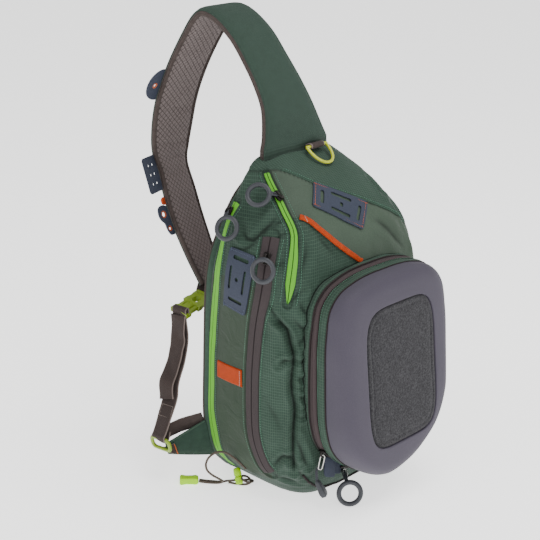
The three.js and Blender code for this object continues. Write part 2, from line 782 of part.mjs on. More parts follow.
function sideTab() {
  const turnOf = (up) =>
    -THREE.MathUtils.radToDeg(Math.atan2(BAG.halfWidth, BAG.axisUp - up));
  const turn = turnOf((SIDE_TAB.low + SIDE_TAB.high) / 2);
  const deeps = between(SIDE_TAB.deepFrom, SIDE_TAB.deepTo, 6);
  const centres = deeps.map((deep) => bodyPoint(turn, deep));
  return bandOnBody(centres, SIDE_TAB.high - SIDE_TAB.low, SIDE_TAB.thick, 2, SIDE_TAB.lift);
}
addPiece('side_tab', sideTab(), 'orange');

function sidePatch() {
  const place = (u, v) => {
    const [turn, deep] = blendCorners(SIDE_PATCH.corners, ['turn', 'deep'], u, v);
    return settle(bodyPoint(turn, deep));
  };
  return slottedPlate(place, SIDE_PATCH.cuts, PATCH_THICK, 0.5);
}
function frontPatch() {
  const place = (u, v) => {
    const [out, up] = blendCorners(FRONT_PATCH.corners, ['out', 'up'], u, v);
    return settle(frontPoint(out * BAG.halfWidth, up * BAG.height));
  };
  return slottedPlate(place, FRONT_PATCH.cuts, PATCH_THICK, 0.5);
}
addPiece('side_patch', sidePatch(), 'rubber');
addPiece('front_patch', frontPatch(), 'rubber');

// Pocket: cloth wall, zipper and band round the lid
const pocketUp = POCKET.floor + POCKET.axisUp;
const pocketRows = polarRows(POCKET_OUTLINE, POCKET.halfWidth, POCKET.height, POCKET.axisUp);
const pocketReach = smooth(pocketRows, 'turn', 'reach');
const pocketTurns = evenTurns(pocketReach, 34);

function labelReach(turn) {
  const angle = THREE.MathUtils.degToRad(turn);
  const wide = Math.abs(Math.sin(angle)) / LABEL.halfWidth;
  const tall = Math.abs(Math.cos(angle)) / LABEL.halfHeight;
  return (wide ** LABEL.squareness + tall ** LABEL.squareness) ** (-1 / LABEL.squareness);
}

// A point round the pocket's axis. inward runs from the pocket's outline to the label's.
function pocketPoint(turn, y, inset = 0, inward = 0) {
  const angle = THREE.MathUtils.degToRad(turn);
  const reach = mix(pocketReach(Math.abs(turn)), labelReach(turn), inward) - inset;
  return vector(reach * Math.sin(angle), y, pocketUp - reach * Math.cos(angle));
}

function pocketRing(backAt, frontAt, proud) {
  const rings = pocketTurns.map((turn) => {
    const corner = (inset, ahead) => pocketPoint(turn, -ahead, inset - proud);
    const outerBack = corner(0, 0);
    const innerBack = corner(POCKET.wall, 0);
    outerBack.y = backAt(outerBack);
    innerBack.y = backAt(innerBack);
    return [outerBack, corner(0, frontAt), corner(POCKET.wall, frontAt), innerBack];
  });
  return loft(rings, true);
}
const onFront = (point) => frontPoint(point.x, point.z).y - SKIN_LIFT;
const levelAt = (ahead) => () => -ahead - TOUCH;
addPiece('pocket_wall', pocketRing(onFront, POCKET.zipperBack, 0), 'cloth');
const pocketZip = pocketRing(levelAt(POCKET.zipperBack), POCKET.zipperFront, 1);
addPiece('pocket_zip', pocketZip, 'zipper');
const pocketBand = pocketRing(levelAt(POCKET.zipperFront), POCKET.bandFront, 0);
addPiece('pocket_band', pocketBand, 'cloth');

// Moulded lid: a shell open to the rear that leans back at its top, with a shallow seat
// for the felt label
const lidAhead = (z) => POCKET.lidFront + POCKET.lidLean * (pocketUp - z);

// A point of the lid, ahead being the share of the way from its open edge to its front
function lidPoint(turn, ahead, inset, inward, open = POCKET.bandFront + TOUCH) {
  const point = pocketPoint(turn, 0, inset, inward);
  point.y = -mix(open, lidAhead(point.z) - inset, ahead);
  return point;
}
function frontRing(inset, behind) {
  return pocketTurns.map((turn) => {
    const point = pocketPoint(turn, 0, inset, 1);
    return point.setY(behind - lidAhead(point.z));
  });
}
function lid() {
  const skin = (inset) =>
    LID_PROFILE.filter((row, i) => inset === 0 || i % 2 === 0).map((row) =>
      pocketTurns.map((turn) => lidPoint(turn, row.ahead, inset, row.inward)),
    );
  const seat = frontRing(0.4, LABEL.recess);
  const seatInside = frontRing(POCKET.lidWall, LABEL.recess + POCKET.lidWall);
  return loft([seatInside, ...skin(POCKET.lidWall).reverse(), ...skin(0), seat]);
}
addPiece('lid', lid(), 'lid');

function label() {
  const back = LABEL.recess - TOUCH;
  return loft([
    frontRing(1.2, back),
    frontRing(1.2, back - LABEL.thick * 0.7),
    frontRing(3.2, back - LABEL.thick),
  ]);
}
addPiece('label', label(), 'felt');

// Shoulder strap
const strapCurve = (key) => {
  const spots = STRAP_ROUTE.map((row, i) => vector(i, row[key], 0));
  const curve = new THREE.CatmullRomCurve3(spots);
  return (share) => curve.getPoint(share).y;
};
const strapSide = strapCurve('side');
const strapBack = strapCurve('back');
const strapUp = strapCurve('up');
const strapWide = strapCurve('wide');
const strapTurn = strapCurve('turn');

function strapStation(share) {
  const left = (s) =>
    vector(-STRAP.left * strapSide(s), STRAP.back * strapBack(s), BAG.height + STRAP.rise * strapUp(s));
  const angle = THREE.MathUtils.degToRad(strapTurn(share));
  const across = vector(Math.cos(angle), Math.sin(angle), 0);
  const step = 0.01;
  const before = left(Math.max(share - step, 0));
  const after = left(Math.min(share + step, 1));
  const along = after.sub(before).normalize();
  const outward = across.clone().cross(along).normalize();
  const wide = STRAP.width * strapWide(share);
  return { edge: left(share), across, along, outward, wide };
}

// The height of the yoke under a point of the strap's foot
function yokeTop(x, y) {
  let low = BAG.axisUp;
  let high = BAG.height * 1.1;
  for (let pass = 0; pass < 24; pass += 1) {
    const middle = (low + high) / 2;
    if (bodyField(vector(x, y, middle)) < 0) low = middle;
    else high = middle;
  }
  return high;
}

// One layer of the strap. section lists shares of the width and distances outwards.
function strapLayer(section) {
  const rings = between(0, 1, 26).map((share) => {
    const { edge, across, outward, wide } = strapStation(share);
    return section.map(({ over, rise, margin }) => {
      const point = edge.clone().addScaledVector(across, over * wide + margin);
      point.addScaledVector(outward, rise);
      if (share === 0) point.z = yokeTop(point.x, point.y) + STRAP.footClear;
      return point;
    });
  });
  return loft(rings);
}
const strapFace = (rise, margin, crown) =>
  between(0, 1, 4).map((over) => ({
    over,
    rise: rise * (1 + crown * Math.sin(Math.PI * over)),
    margin: margin * ((over === 0) - (over === 1)),
  }));
const coverSection = [
  { over: 0, rise: STRAP.cover * 0.7, margin: 1 },
  ...strapFace(STRAP.cover, 5, 0.1),
  { over: 1, rise: STRAP.cover * 0.7, margin: -1 },
  ...strapFace(TOUCH, 0, 0).reverse(),
];
const liningSection = [
  { over: 0, rise: -1, margin: -STRAP.binding },
  { over: 0, rise: -STRAP.lining * 0.6, margin: -STRAP.binding },
  ...strapFace(-STRAP.lining, 5, 0.1),
  { over: 1, rise: -STRAP.lining * 0.6, margin: STRAP.binding },
  { over: 1, rise: -1, margin: STRAP.binding },
  ...strapFace(0, 0, 0).reverse(),
];
addPiece('strap_cover', strapLayer(coverSection), 'cloth');
addPiece('strap_lining', strapLayer(liningSection), 'mesh');

// D-ring in a folded webbing sleeve on the yoke
const sleeveOuter = D_RING.wire + TOUCH + WEBBING.thick;
const sleeveLow = yokeTop(D_RING.x - D_RING.sleeve / 2, D_RING.back + D_RING.flap + 4);
const dRingBarUp = sleeveLow + sleeveOuter + SKIN_LIFT;
const dRingBar = vector(D_RING.x, D_RING.back, dRingBarUp);
const dRingTip = settle(
  vector(D_RING.x, D_RING.back - D_RING.deep, yokeTop(D_RING.x, D_RING.back - D_RING.deep)),
  D_RING.wire + SKIN_LIFT * 2,
).point;
const dRingDown = dRingTip.clone().sub(dRingBar).normalize();
const dRingAxes = [vector(1, 0, 0), dRingDown, vector(1, 0, 0).cross(dRingDown)];

function dRing() {
  const half = D_RING.wide / 2;
  const bow = between(0, Math.PI, 12).map(
    (angle) =>
      new THREE.Vector2(half * Math.cos(angle), D_RING.deep * Math.sin(angle) ** 0.8),
  );
  const bar = between(-half, half, 4).slice(1, -1).map((x) => new THREE.Vector2(x, 0));
  return wireLoop([...bow, ...bar], D_RING.wire, 6, dRingAxes, dRingBar);
}
addPiece('d_ring', dRing(), 'dRing');

function dRingSleeve() {
  const inner = D_RING.wire + TOUCH;
  const ringShape = new THREE.Shape().absarc(0, 0, sleeveOuter, 0, 2 * Math.PI);
  ringShape.holes.push(new THREE.Path().absarc(0, 0, inner, 0, 2 * Math.PI, true));
  const axes = [vector(0, 1, 0), vector(0, 0, 1), vector(1, 0, 0)];
  const sleeve = placeFlat(ringShape, D_RING.sleeve, axes, dRingBar, 10);
  const tail = roundedRectangle(D_RING.flap, WEBBING.thick * 1.4, 0.6);
  const tailBack = inner + 0.6 + D_RING.flap / 2;
  const tailSpot = dRingBar.clone().add(vector(0, tailBack, WEBBING.thick * 0.7 - sleeveOuter));
  const flap = placeFlat(tail, D_RING.sleeve, axes, tailSpot, 2);
  return joined(sleeve, flap);
}
addPiece('d_ring_sleeve', dRingSleeve(), 'webbing');

// Zipper sliders and ring pulls
const pocketZipMiddle = (POCKET.zipperBack + POCKET.zipperFront) / 2;
const pocketSliderSpot = (turn) => pocketPoint(turn, -pocketZipMiddle, -1);
const bodyLift = SKIN_LIFT + ZIPPER.thick + TOUCH + SLIDER.tall / 2;
const pocketLift = SKIN_LIFT + SLIDER.tall / 2;
const mainSliderTurn = MAIN_ZIP_PATH.at(-1).turn - 3;
const mainSliderBack = BAG.seamBack * mainZipBack(mainSliderTurn);
const sliderSpots = {
  main: settle(bodyPoint(-mainSliderTurn, 0.2)),
  front: settle(frontZipPath[2]),
  side: settle(sideZipPath[2]),
};
const mainSpot = sliderSpots.main.point;
sliderSpots.main = settle(vector(mainSpot.x, mainSliderBack, mainSpot.z));

function outOfPocket(turn) {
  const point = pocketSliderSpot(turn);
  const along = pocketSliderSpot(turn + 2).sub(pocketSliderSpot(turn - 2));
  return { point, outward: along.cross(vector(0, -1, 0)).normalize() };
}
sliderSpots.pocket = outOfPocket(-19);

function sliderBody({ point, outward }, along, lift) {
  const axes = axesFacing(outward, along);
  const shape = roundedRectangle(SLIDER.wide, SLIDER.long, 2.5);
  const centre = point.clone().addScaledVector(outward, lift);
  return placeFlat(shape, SLIDER.tall, axes, centre, 2);
}

// The ring with its neck, which ends beside the slider's upper face
function ringPull(pull, centre, sliderTop) {
  const face = vectorOf(pull.face).normalize();
  const [right, up, out] = axesFacing(face, sliderTop.clone().sub(centre));
  const middle = PULL.ringOuter - PULL.ringWire;
  const outline = steps(PULL.sides).map((i) => {
    const angle = (2 * Math.PI * i) / PULL.sides;
    return new THREE.Vector2(middle * Math.cos(angle), middle * Math.sin(angle));
  });
  const ring = wireLoop(outline, PULL.ringWire, 6, [right, up, out], centre);
  const start = centre.clone().addScaledVector(up, middle);
  const neckAlong = sliderTop.clone().sub(start);
  const neckAxes = axesFacing(neckAlong, out);
  const neckShape = roundedRectangle(PULL.neckWide, PULL.neckThick, 1.4);
  const neckMiddle = start.clone().add(sliderTop).multiplyScalar(0.5);
  const neck = placeFlat(neckShape, neckAlong.length(), neckAxes, neckMiddle, 2);
  return joined(ring, neck);
}

for (const pull of PULLS) {
  const spot = sliderSpots[pull.name];
  const isOnPocket = pull.name === 'pocket';
  const lift = isOnPocket ? pocketLift : bodyLift;
  const towards = vectorOf(pull.hang);
  const centre = spot.point.clone().add(towards);
  towards.addScaledVector(spot.outward, -towards.dot(spot.outward));
  addPiece(`${pull.name}_slider`, sliderBody(spot, towards, lift), 'metal');
  const face = vectorOf(pull.face).normalize();
  const flat = lift + SLIDER.tall / 2;
  towards.setLength(SLIDER.long * 0.3);
  const over = spot.point.clone().add(towards).addScaledVector(spot.outward, flat + 3);
  const [wide, thick] = axesFacing(over.clone().sub(centre), face);
  const reach =
    (Math.abs(wide.dot(spot.outward)) * PULL.neckWide +
      Math.abs(thick.dot(spot.outward)) * PULL.neckThick) / 2;
  const top = spot.point.clone().add(towards);
  top.addScaledVector(spot.outward, flat + reach + TOUCH - pull.seat);
  addPiece(`${pull.name}_pull`, ringPull(pull, centre, top), 'moulded');
}

// Second pocket slider, with a cord toggle in place of a ring
const toggleSpot = outOfPocket(TOGGLE.turn);
const toggleAxes = axesFacing(toggleSpot.outward, vector(0, 0, 1));
const toggleHook = toggleSpot.point.clone().addScaledVector(toggleSpot.outward, pocketLift);
toggleHook.addScaledVector(toggleAxes[1], -SLIDER.long / 2 - TOUCH - TOGGLE.cord * 0.4);
addPiece('toggle_slider', sliderBody(toggleSpot, vector(0, 0, 1), pocketLift), 'metal');
function togglePull() {
  const top = vectorOf(TOGGLE.top);
  const low = vectorOf(TOGGLE.low);
  const along = low.clone().sub(top);
  const axes = axesFacing(along, vector(0, -1, 0));
  const rings = TOGGLE_ROWS.map(({ at, share }) => {
    const shape = roundedRectangle(TOGGLE.thick * share, TOGGLE.wide * share, 1.6 * share);
    const centre = top.clone().addScaledVector(along, at);
    return shape.getPoints(3).slice(0, 16).map((spot) =>
      centre.clone().addScaledVector(axes[0], spot.x).addScaledVector(axes[1], spot.y),
    );
  });
  const reach = top.clone().addScaledVector(along, 0.1).sub(toggleHook);
  const cordShape = roundedRectangle(TOGGLE.cord, TOGGLE.cord, 1);
  const cordMiddle = toggleHook.clone().addScaledVector(reach, 0.5);
  const cordAxes = axesFacing(reach, vector(0, -1, 0));
  const cord = placeFlat(cordShape, reach.length(), cordAxes, cordMiddle, 2);
  return joined(loft(rings), cord);
}
addPiece('toggle_pull', togglePull(), 'moulded');

// Tabs of coated cloth on the strap's outer edge
function tabFrame(at) {
  const { edge, across, along, outward } = strapStation(at);
  const centre = edge.clone().addScaledVector(across, -STRAP.binding - TAB.clear);
  const out = across.clone().negate();
  return { centre, axes: [out, along, out.clone().cross(along)], outward };
}
const circlePath = (x, y, radius) => new THREE.Path().absarc(x, y, radius, 0, 2 * Math.PI, true);

function eyeletShape(radius) {
  const shape = new THREE.Shape().absarc(0, 0, radius + TAB.eyelet, 0, 2 * Math.PI);
  shape.holes.push(circlePath(0, 0, radius));
  return shape;
}
function addEyelet(name, frame, x, y, radius) {
  const centre = frame.centre.clone().addScaledVector(frame.axes[0], x);
  centre.addScaledVector(frame.axes[1], y);
  addPiece(name, placeFlat(eyeletShape(radius), TAB.thick * 1.5, frame.axes, centre, 6), 'orange');
}

function roundTab() {
  const shape = new THREE.Shape();
  shape.absarc(0, 0, ROUND_TAB.radius, -Math.PI / 2, Math.PI / 2);
  shape.holes.push(circlePath(ROUND_TAB.holeOut, 0, ROUND_TAB.hole + TAB.eyelet + TOUCH));
  return shape;
}
const roundFrame = tabFrame(ROUND_TAB.at);
addPiece('round_tab', placeFlat(roundTab(), TAB.thick, roundFrame.axes, roundFrame.centre, 12), 'rubber');
addEyelet('round_eyelet', roundFrame, ROUND_TAB.holeOut, 0, ROUND_TAB.hole);

function holeFlap() {
  const shape = new THREE.Shape();
  const half = HOLE_FLAP.along / 2;
  shape.moveTo(0, -half);
  shape.lineTo(HOLE_FLAP.out, -half);
  shape.lineTo(HOLE_FLAP.out, half);
  shape.lineTo(0, half);
  shape.closePath();
  for (const column of [1, 2]) {
    for (const row of [-1, 0, 1]) {
      const x = column * HOLE_FLAP.pitchOut;
      shape.holes.push(circlePath(x, row * HOLE_FLAP.pitchAlong, HOLE_FLAP.hole));
    }
  }
  return shape;
}
const flapFrame = tabFrame(HOLE_FLAP.at);
addPiece('hole_flap', placeFlat(holeFlap(), TAB.thick, flapFrame.axes, flapFrame.centre, 4), 'rubber');

function loopTab() {
  const shape = new THREE.Shape();
  shape.absarc(0, 0, LOOP_TAB.out, -Math.PI / 2, Math.PI / 2);
  return shape;
}
const loopFrame = tabFrame(LOOP_TAB.at);
addPiece('loop_tab', placeFlat(loopTab(), TAB.thick * 2, loopFrame.axes, loopFrame.centre, 8), 'orange');

function doubleTab() {
  const { along, out, bigHole, smallHole } = DOUBLE_TAB;
  const shape = new THREE.Shape();
  shape.moveTo(0, -along / 2);
  shape.quadraticCurveTo(out, -along * 0.62, out, -along * 0.28);
  shape.quadraticCurveTo(out, 0, out * 0.65, along * 0.05);
  shape.quadraticCurveTo(out * 0.6, along * 0.42, out * 0.4, along * 0.48);
  shape.lineTo(0, along / 2);
  shape.closePath();
  shape.holes.push(circlePath(out * 0.5, -along * 0.26, bigHole + TAB.eyelet + TOUCH));
  shape.holes.push(circlePath(out * 0.33, along * 0.26, smallHole + TAB.eyelet + TOUCH));
  return shape;
}
const doubleFrame = tabFrame(DOUBLE_TAB.at);
addPiece('double_tab', placeFlat(doubleTab(), TAB.thick, doubleFrame.axes, doubleFrame.centre, 6), 'rubber');
const { along: doubleAlong, out: doubleOut, bigHole, smallHole } = DOUBLE_TAB;
addEyelet('big_eyelet', doubleFrame, doubleOut * 0.5, -doubleAlong * 0.26, bigHole);
addEyelet('small_eyelet', doubleFrame, doubleOut * 0.33, doubleAlong * 0.26, smallHole);

// Side-release buckle: a socket on the strap's side and a plug on the webbing's side
const buckleAlong = vectorOf(BUCKLE.along).normalize();
const buckleAcross = vectorOf(BUCKLE.across);
buckleAcross.addScaledVector(buckleAlong, -buckleAcross.dot(buckleAlong)).normalize();
const buckleUp = buckleAcross.clone().cross(buckleAlong).normalize();
const buckleEnd = strapStation(1).edge.add(vectorOf(BUCKLE.hang));
const buckleSpot = (along, across = 0, up = 0) =>
  buckleEnd
    .clone()
    .addScaledVector(buckleAlong, along)
    .addScaledVector(buckleAcross, across)
    .addScaledVector(buckleUp, up);

function buckleHalf(rows, slot) {
  const rings = rows.map(({ at, wide, thick }) => {
    const shape = roundedRectangle(wide, thick, thick * 0.35);
    return shape.getPoints(3).slice(0, 16).map((spot) => buckleSpot(at, spot.x, spot.y));
  });
  const axes = [buckleAcross, buckleAlong, buckleAcross.clone().cross(buckleAlong)];
  const opening = roundedRectangle(slot.wide, slot.long, 1.2);
  const cutter = placeFlat(opening, BUCKLE.thick * 3, axes, buckleSpot(slot.at), 2);
  return fromSolid(toSolid(loft(rings)).subtract(toSolid(cutter)));
}
const buckleSplit = BUCKLE.length * (1 - BUCKLE.split);
const slotWide = BUCKLE.width - 5;
const plugRows = [
  { at: 0, wide: BUCKLE.width, thick: BUCKLE.thick * 0.6 },
  { at: 9, wide: BUCKLE.width, thick: BUCKLE.thick * 0.75 },
  { at: 12, wide: BUCKLE.width * 0.82, thick: BUCKLE.thick * 0.75 },
  { at: buckleSplit - TOUCH, wide: BUCKLE.width * 0.8, thick: BUCKLE.thick * 0.85 },
];
addPiece('buckle_plug', buckleHalf(plugRows, { at: 5.6, wide: slotWide, long: 4.6 }), 'buckle');
const socketRows = [
  { at: buckleSplit, wide: BUCKLE.width, thick: BUCKLE.thick },
  { at: buckleSplit + 12, wide: BUCKLE.width * 0.94, thick: BUCKLE.thick },
  { at: BUCKLE.length - 8, wide: BUCKLE.width, thick: BUCKLE.thick * 0.8 },
  { at: BUCKLE.length, wide: BUCKLE.width, thick: BUCKLE.thick * 0.6 },
];
const socketSlot = { at: BUCKLE.length - 5, wide: slotWide, long: 4.6 };
addPiece('buckle_socket', buckleHalf(socketRows, socketSlot), 'buckle');

// A flat band through points, its width along one way
function freeBand(points, count, across, wide, thick) {
  const curve = new THREE.CatmullRomCurve3(points);
  const rings = between(0, 1, count).map((share) => {
    const middle = curve.getPointAt(share);
    const outward = curve.getTangentAt(share).cross(across).normalize();
    return [[-0.5, -0.5], [0.5, -0.5], [0.5, 0.5], [-0.5, 0.5]].map(([over, rise]) =>
      middle.clone().addScaledVector(across, over * wide).addScaledVector(outward, rise * thick),
    );
  });
  return loft(rings);
}
const webbingDrop = buckleEnd.z - WING_RING.centre[2];
const webbingSpots = WEBBING_ROUTE.map(({ down, out, back }) =>
  buckleEnd
    .clone()
    .lerp(vectorOf(WING_RING.centre), down)
    .add(vector(out, back, 0).multiplyScalar(webbingDrop)),
);
const webbingAcross = vector(0.17, -0.985, 0).normalize();
const mainWebbing = freeBand(webbingSpots, 26, webbingAcross, WEBBING.width, WEBBING.thick);
addPiece('webbing_main', mainWebbing, 'webbing');
const tailSpots = WEBBING_ROUTE.filter((row) => row.spare).map(({ spare }, i) => {
  const aside = WEBBING.thick + TOUCH + spare;
  return webbingSpots[i].clone().add(vector(-aside, 0.17 * aside, 0));
});
const tailWebbing = freeBand(tailSpots, 18, webbingAcross, WEBBING.width, WEBBING.thick);
addPiece('webbing_tail', tailWebbing, 'webbing');

// Short strap from the lining's lower end to the buckle
function buckleStrap() {
  const { edge, across, along, wide } = strapStation(1);
  const start = edge.clone().addScaledVector(across, wide * 0.5).addScaledVector(along, STRAP.lining + 1);
  const finish = buckleSpot(BUCKLE.length + 1.2);
  const middle = start.clone().add(finish).multiplyScalar(0.5).add(vector(-3, 0, -3));
  return freeBand([start, middle, finish], 6, buckleAcross, WEBBING.width - 2, WEBBING.thick);
}
addPiece('buckle_strap', buckleStrap(), 'webbing');

// Ring between the webbing and the wing
const ringUp = vector(-0.25, 0, 1).normalize();
const ringAcross = vector(0.17, -0.95, -0.2);
ringAcross.addScaledVector(ringUp, -ringAcross.dot(ringUp)).normalize();
function wingRing() {
  const shape = roundedRectangle(WING_RING.wide, WING_RING.tall, 6);
  const spots = shape.getPoints(2);
  const outline = spots.filter((spot, i) => i === 0 || spot.distanceTo(spots[i - 1]) > 0.01);
  if (outline[0].distanceTo(outline.at(-1)) < 0.01) outline.pop();
  const axes = [ringAcross, ringUp, ringAcross.clone().cross(ringUp)];
  return wireLoop(outline, WING_RING.wire, 6, axes, vectorOf(WING_RING.centre));
}
addPiece('wing_ring', wingRing(), 'buckle');

// Padded wing from the back panel's lower left edge out to its ring
function outlineX(z) {
  let low = 0;
  let high = BAG.halfWidth * 1.2;
  for (let pass = 0; pass < 24; pass += 1) {
    const middle = (low + high) / 2;
    const turn = THREE.MathUtils.radToDeg(Math.atan2(middle, BAG.axisUp - z));
    if (Math.hypot(middle, BAG.axisUp - z) < bodyReach(turn)) low = middle;
    else high = middle;
  }
  return high;
}
function wing() {
  const shares = between(0, 1, 7);
  const rings = shares.map((share) => {
    const low = mix(WING.rootLow, WING_TIP.low, share);
    const high = mix(WING.rootHigh, WING_TIP.high, share);
    const y = mix(WING.rootBack, WING.tipBack, share);
    const spot = (z, lean) => {
      const root = outlineX(z) + WING.rootClear;
      return mix(root, WING.tipOut + lean * (z - low) / (high - low), share);
    };
    const half = (WING.thick / 2) * mix(1, 0.7, share);
    const side = (sign) =>
      WING_SECTION.map(({ up, full }) => {
        const z = mix(low, high, up);
        return vector(-spot(z, WING_TIP.lean), y + sign * full * half, z);
      });
    return [...side(-1), ...side(1).reverse()];
  });
  return loft(rings);
}
addPiece('wing', wing(), 'cloth');

function wingStrap() {
  const top = vector(-171, 107, 78);
  const low = vector(-outlineX(88) - 2.2, BAG.seamBack + BAG.panelThick * 0.7, 88);
  const middle = top.clone().add(low).multiplyScalar(0.5).add(vector(0, 3.5, 0));
  const across = vector(-0.35, 0, 1).normalize();
  return freeBand([top, middle, low], 8, across, WING_STRAP.width * 0.8, WING_STRAP.thick);
}
addPiece('wing_strap', wingStrap(), 'webbing');

// Drawcord, its end and its lock
function cordTube(route, count) {
  const shape = new THREE.Shape();
  steps(8).forEach((i) => {
    const angle = (2 * Math.PI * i) / 8;
    const spot = [CORD.radius * Math.cos(angle), CORD.radius * Math.sin(angle)];
    if (i === 0) shape.moveTo(...spot);
    else shape.lineTo(...spot);
  });
  shape.closePath();
  const path = new THREE.CatmullRomCurve3(route.map(vectorOf));
  const options = { steps: count, extrudePath: path, bevelEnabled: false, curveSegments: 1 };
  return new THREE.ExtrudeGeometry(shape, options);
}
addPiece('drawcord', cordTube(CORD_ROUTE, 24), 'webbing');
addPiece('drawcord_tail', cordTube(TAIL_ROUTE, 10), 'webbing');

function cordEnd() {
  const start = vectorOf(CORD_ROUTE.at(-1)).add(vectorOf(TAIL_ROUTE.at(-1))).multiplyScalar(0.5);
  const along = vector(-0.72, 0.69, 0);
  const across = vector(0.69, 0.72, 0);
  const rings = CORD_END_ROWS.map(({ at, share }) => {
    const shape = roundedRectangle(CORD_END.width * share, CORD_END.tall * share, 2.4);
    const centre = start.clone().addScaledVector(along, at + TOUCH * 2);
    centre.z = CORD_END.tall / 2 + TOUCH / 2;
    return shape.getPoints(3).slice(0, 16).map((spot) =>
      centre.clone().addScaledVector(across, spot.x).add(vector(0, 0, spot.y)),
    );
  });
  return loft(rings);
}
addPiece('cord_end', cordEnd(), 'cordEnd');

function cordLock() {
  const foot = vectorOf(CORD_LOCK.foot);
  const head = vectorOf(CORD_LOCK.head);
  const axes = axesFacing(head.clone().sub(foot), vector(0, 1, 0));
  const rings = CORD_LOCK_ROWS.map(({ at, share }) => {
    const centre = foot.clone().lerp(head, at);
    return steps(10).map((j) => {
      const angle = (2 * Math.PI * j) / 10;
      return centre
        .clone()
        .addScaledVector(axes[0], CORD_LOCK.radius * share * Math.cos(angle))
        .addScaledVector(axes[1], CORD_LOCK.radius * share * Math.sin(angle));
    });
  });
  return loft(rings);
}
addPiece('cord_lock', cordLock(), 'cordEnd');

export default model;
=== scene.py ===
import math

import bmesh
import bpy
import numpy as np
from mathutils import Matrix, Vector, noise


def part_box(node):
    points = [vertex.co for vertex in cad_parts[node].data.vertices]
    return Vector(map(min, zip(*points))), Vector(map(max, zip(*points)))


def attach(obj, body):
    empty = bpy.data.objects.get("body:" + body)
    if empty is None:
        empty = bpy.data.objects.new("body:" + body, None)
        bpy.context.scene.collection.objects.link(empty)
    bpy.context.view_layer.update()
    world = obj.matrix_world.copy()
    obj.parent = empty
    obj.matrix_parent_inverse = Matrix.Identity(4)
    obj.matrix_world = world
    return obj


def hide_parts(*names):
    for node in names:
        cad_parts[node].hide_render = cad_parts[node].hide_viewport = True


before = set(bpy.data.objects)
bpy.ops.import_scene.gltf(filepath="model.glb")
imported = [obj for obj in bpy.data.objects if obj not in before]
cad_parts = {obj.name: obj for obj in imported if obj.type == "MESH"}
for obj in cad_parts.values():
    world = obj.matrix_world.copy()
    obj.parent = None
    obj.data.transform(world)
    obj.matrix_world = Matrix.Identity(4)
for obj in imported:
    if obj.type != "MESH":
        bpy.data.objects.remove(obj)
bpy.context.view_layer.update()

scene = bpy.context.scene


# Studio. The bag stands on a plain pale floor under soft light from above, with a wide
# soft panel at the left front. The camera looks down at it from its left front corner.
def linear(code):
    parts = [int(code[i : i + 2], 16) / 255 for i in (1, 3, 5)]
    return (*[p / 12.92 if p <= 0.04045 else ((p + 0.055) / 1.055) ** 2.4 for p in parts], 1.0)


def add(tree, kind, inputs=None, **settings):
    node = tree.nodes.new("ShaderNode" + kind)
    for name, value in settings.items():
        setattr(node, name, value)
    for name, value in (inputs or {}).items():
        if isinstance(value, bpy.types.NodeSocket):
            tree.links.new(value, node.inputs[name])
        else:
            node.inputs[name].default_value = value
    return node


def start_finish(name, code, roughness, **constants):
    made = bpy.data.materials.new(name)
    made.use_nodes = True
    tree = made.node_tree
    shader = tree.nodes["Principled BSDF"]
    shader.inputs["Base Color"].default_value = linear(code)
    shader.inputs["Roughness"].default_value = roughness
    # Cloth hardly shines; mouldings and metal do
    shader.inputs["Specular IOR Level"].default_value = 0.12 if roughness > 0.5 else 0.4
    for socket, value in constants.items():
        shader.inputs[socket.replace("_", " ")].default_value = value
    return made, tree, shader


# White paper, lit a little from behind so that it stays pale in the soft light
WHITE = (1, 1, 1, 1)
FLOOR_SIZE = 60
paper, _, _ = start_finish(
    "backlit_white_backdrop", "#f7f7f6", 0.9, Emission_Strength=1.35, Emission_Color=WHITE
)
floor_mesh = bpy.data.meshes.new("floor")
sheet = bmesh.new()
bmesh.ops.create_grid(sheet, x_segments=2, y_segments=2, size=FLOOR_SIZE)
sheet.to_mesh(floor_mesh)
floor_mesh.materials.append(paper)
floor = bpy.data.objects.new("floor", floor_mesh)
scene.collection.objects.link(floor)

sky = bpy.data.worlds.new("studio")
sky.use_nodes = True
daylight = sky.node_tree.nodes["Background"].inputs
daylight["Color"].default_value, daylight["Strength"].default_value = WHITE, 0.55
scene.world = sky


def soft_light(name, place, aim, size, power):
    lamp = bpy.data.lights.new(name, "AREA")
    lamp.shape, lamp.size, lamp.energy = "SQUARE", size, power
    panel = bpy.data.objects.new(name, lamp)
    panel.location = place
    panel.rotation_mode = "QUATERNION"
    panel.rotation_quaternion = (Vector(aim) - Vector(place)).to_track_quat("-Z", "Y")
    scene.collection.objects.link(panel)


soft_light("top_panel", (0.3, -0.6, 2.4), (0, 0, 0.2), 1.6, 42)
soft_light("front_panel", (-0.9, -2.2, 1.3), (0, 0, 0.3), 1.4, 16)
soft_light("side_panel", (-2.2, 0.3, 1.2), (0, 0, 0.3), 1.3, 11)

eye = bpy.data.cameras.new("camera")
eye.sensor_width, eye.lens = 36, 86.67
camera = bpy.data.objects.new("camera", eye)
turned, tilted = math.radians(-45), math.radians(20)
level = math.cos(tilted)
back = Vector((math.sin(turned) * level, -math.cos(turned) * level, math.sin(tilted)))
camera.location = Vector((-0.0445, 0.0445, 0.278)) + back * 1.7
camera.rotation_mode = "QUATERNION"
camera.rotation_quaternion = (-back).to_track_quat("-Z", "Y")
scene.collection.objects.link(camera)
scene.camera = camera


# Drawcord at the foot of the main zipper: 3 mm braided elastic that leaves the hem, loops
# out and back through a knot, and ends as two strands in a moulded cord end.
MM = Matrix.Scale(0.001, 4)


def mesh_grid(name, across, along):
    made = bmesh.new()
    bmesh.ops.create_grid(made, x_segments=across, y_segments=along, size=0.5)
    mesh = bpy.data.meshes.new(name)
    made.to_mesh(mesh)
    made.free()
    spots = np.empty(len(mesh.vertices) * 3)
    mesh.vertices.foreach_get("co", spots)
    spots = spots.reshape(-1, 3)[:, :2] + 0.5
    return mesh, spots[:, 0], spots[:, 1]


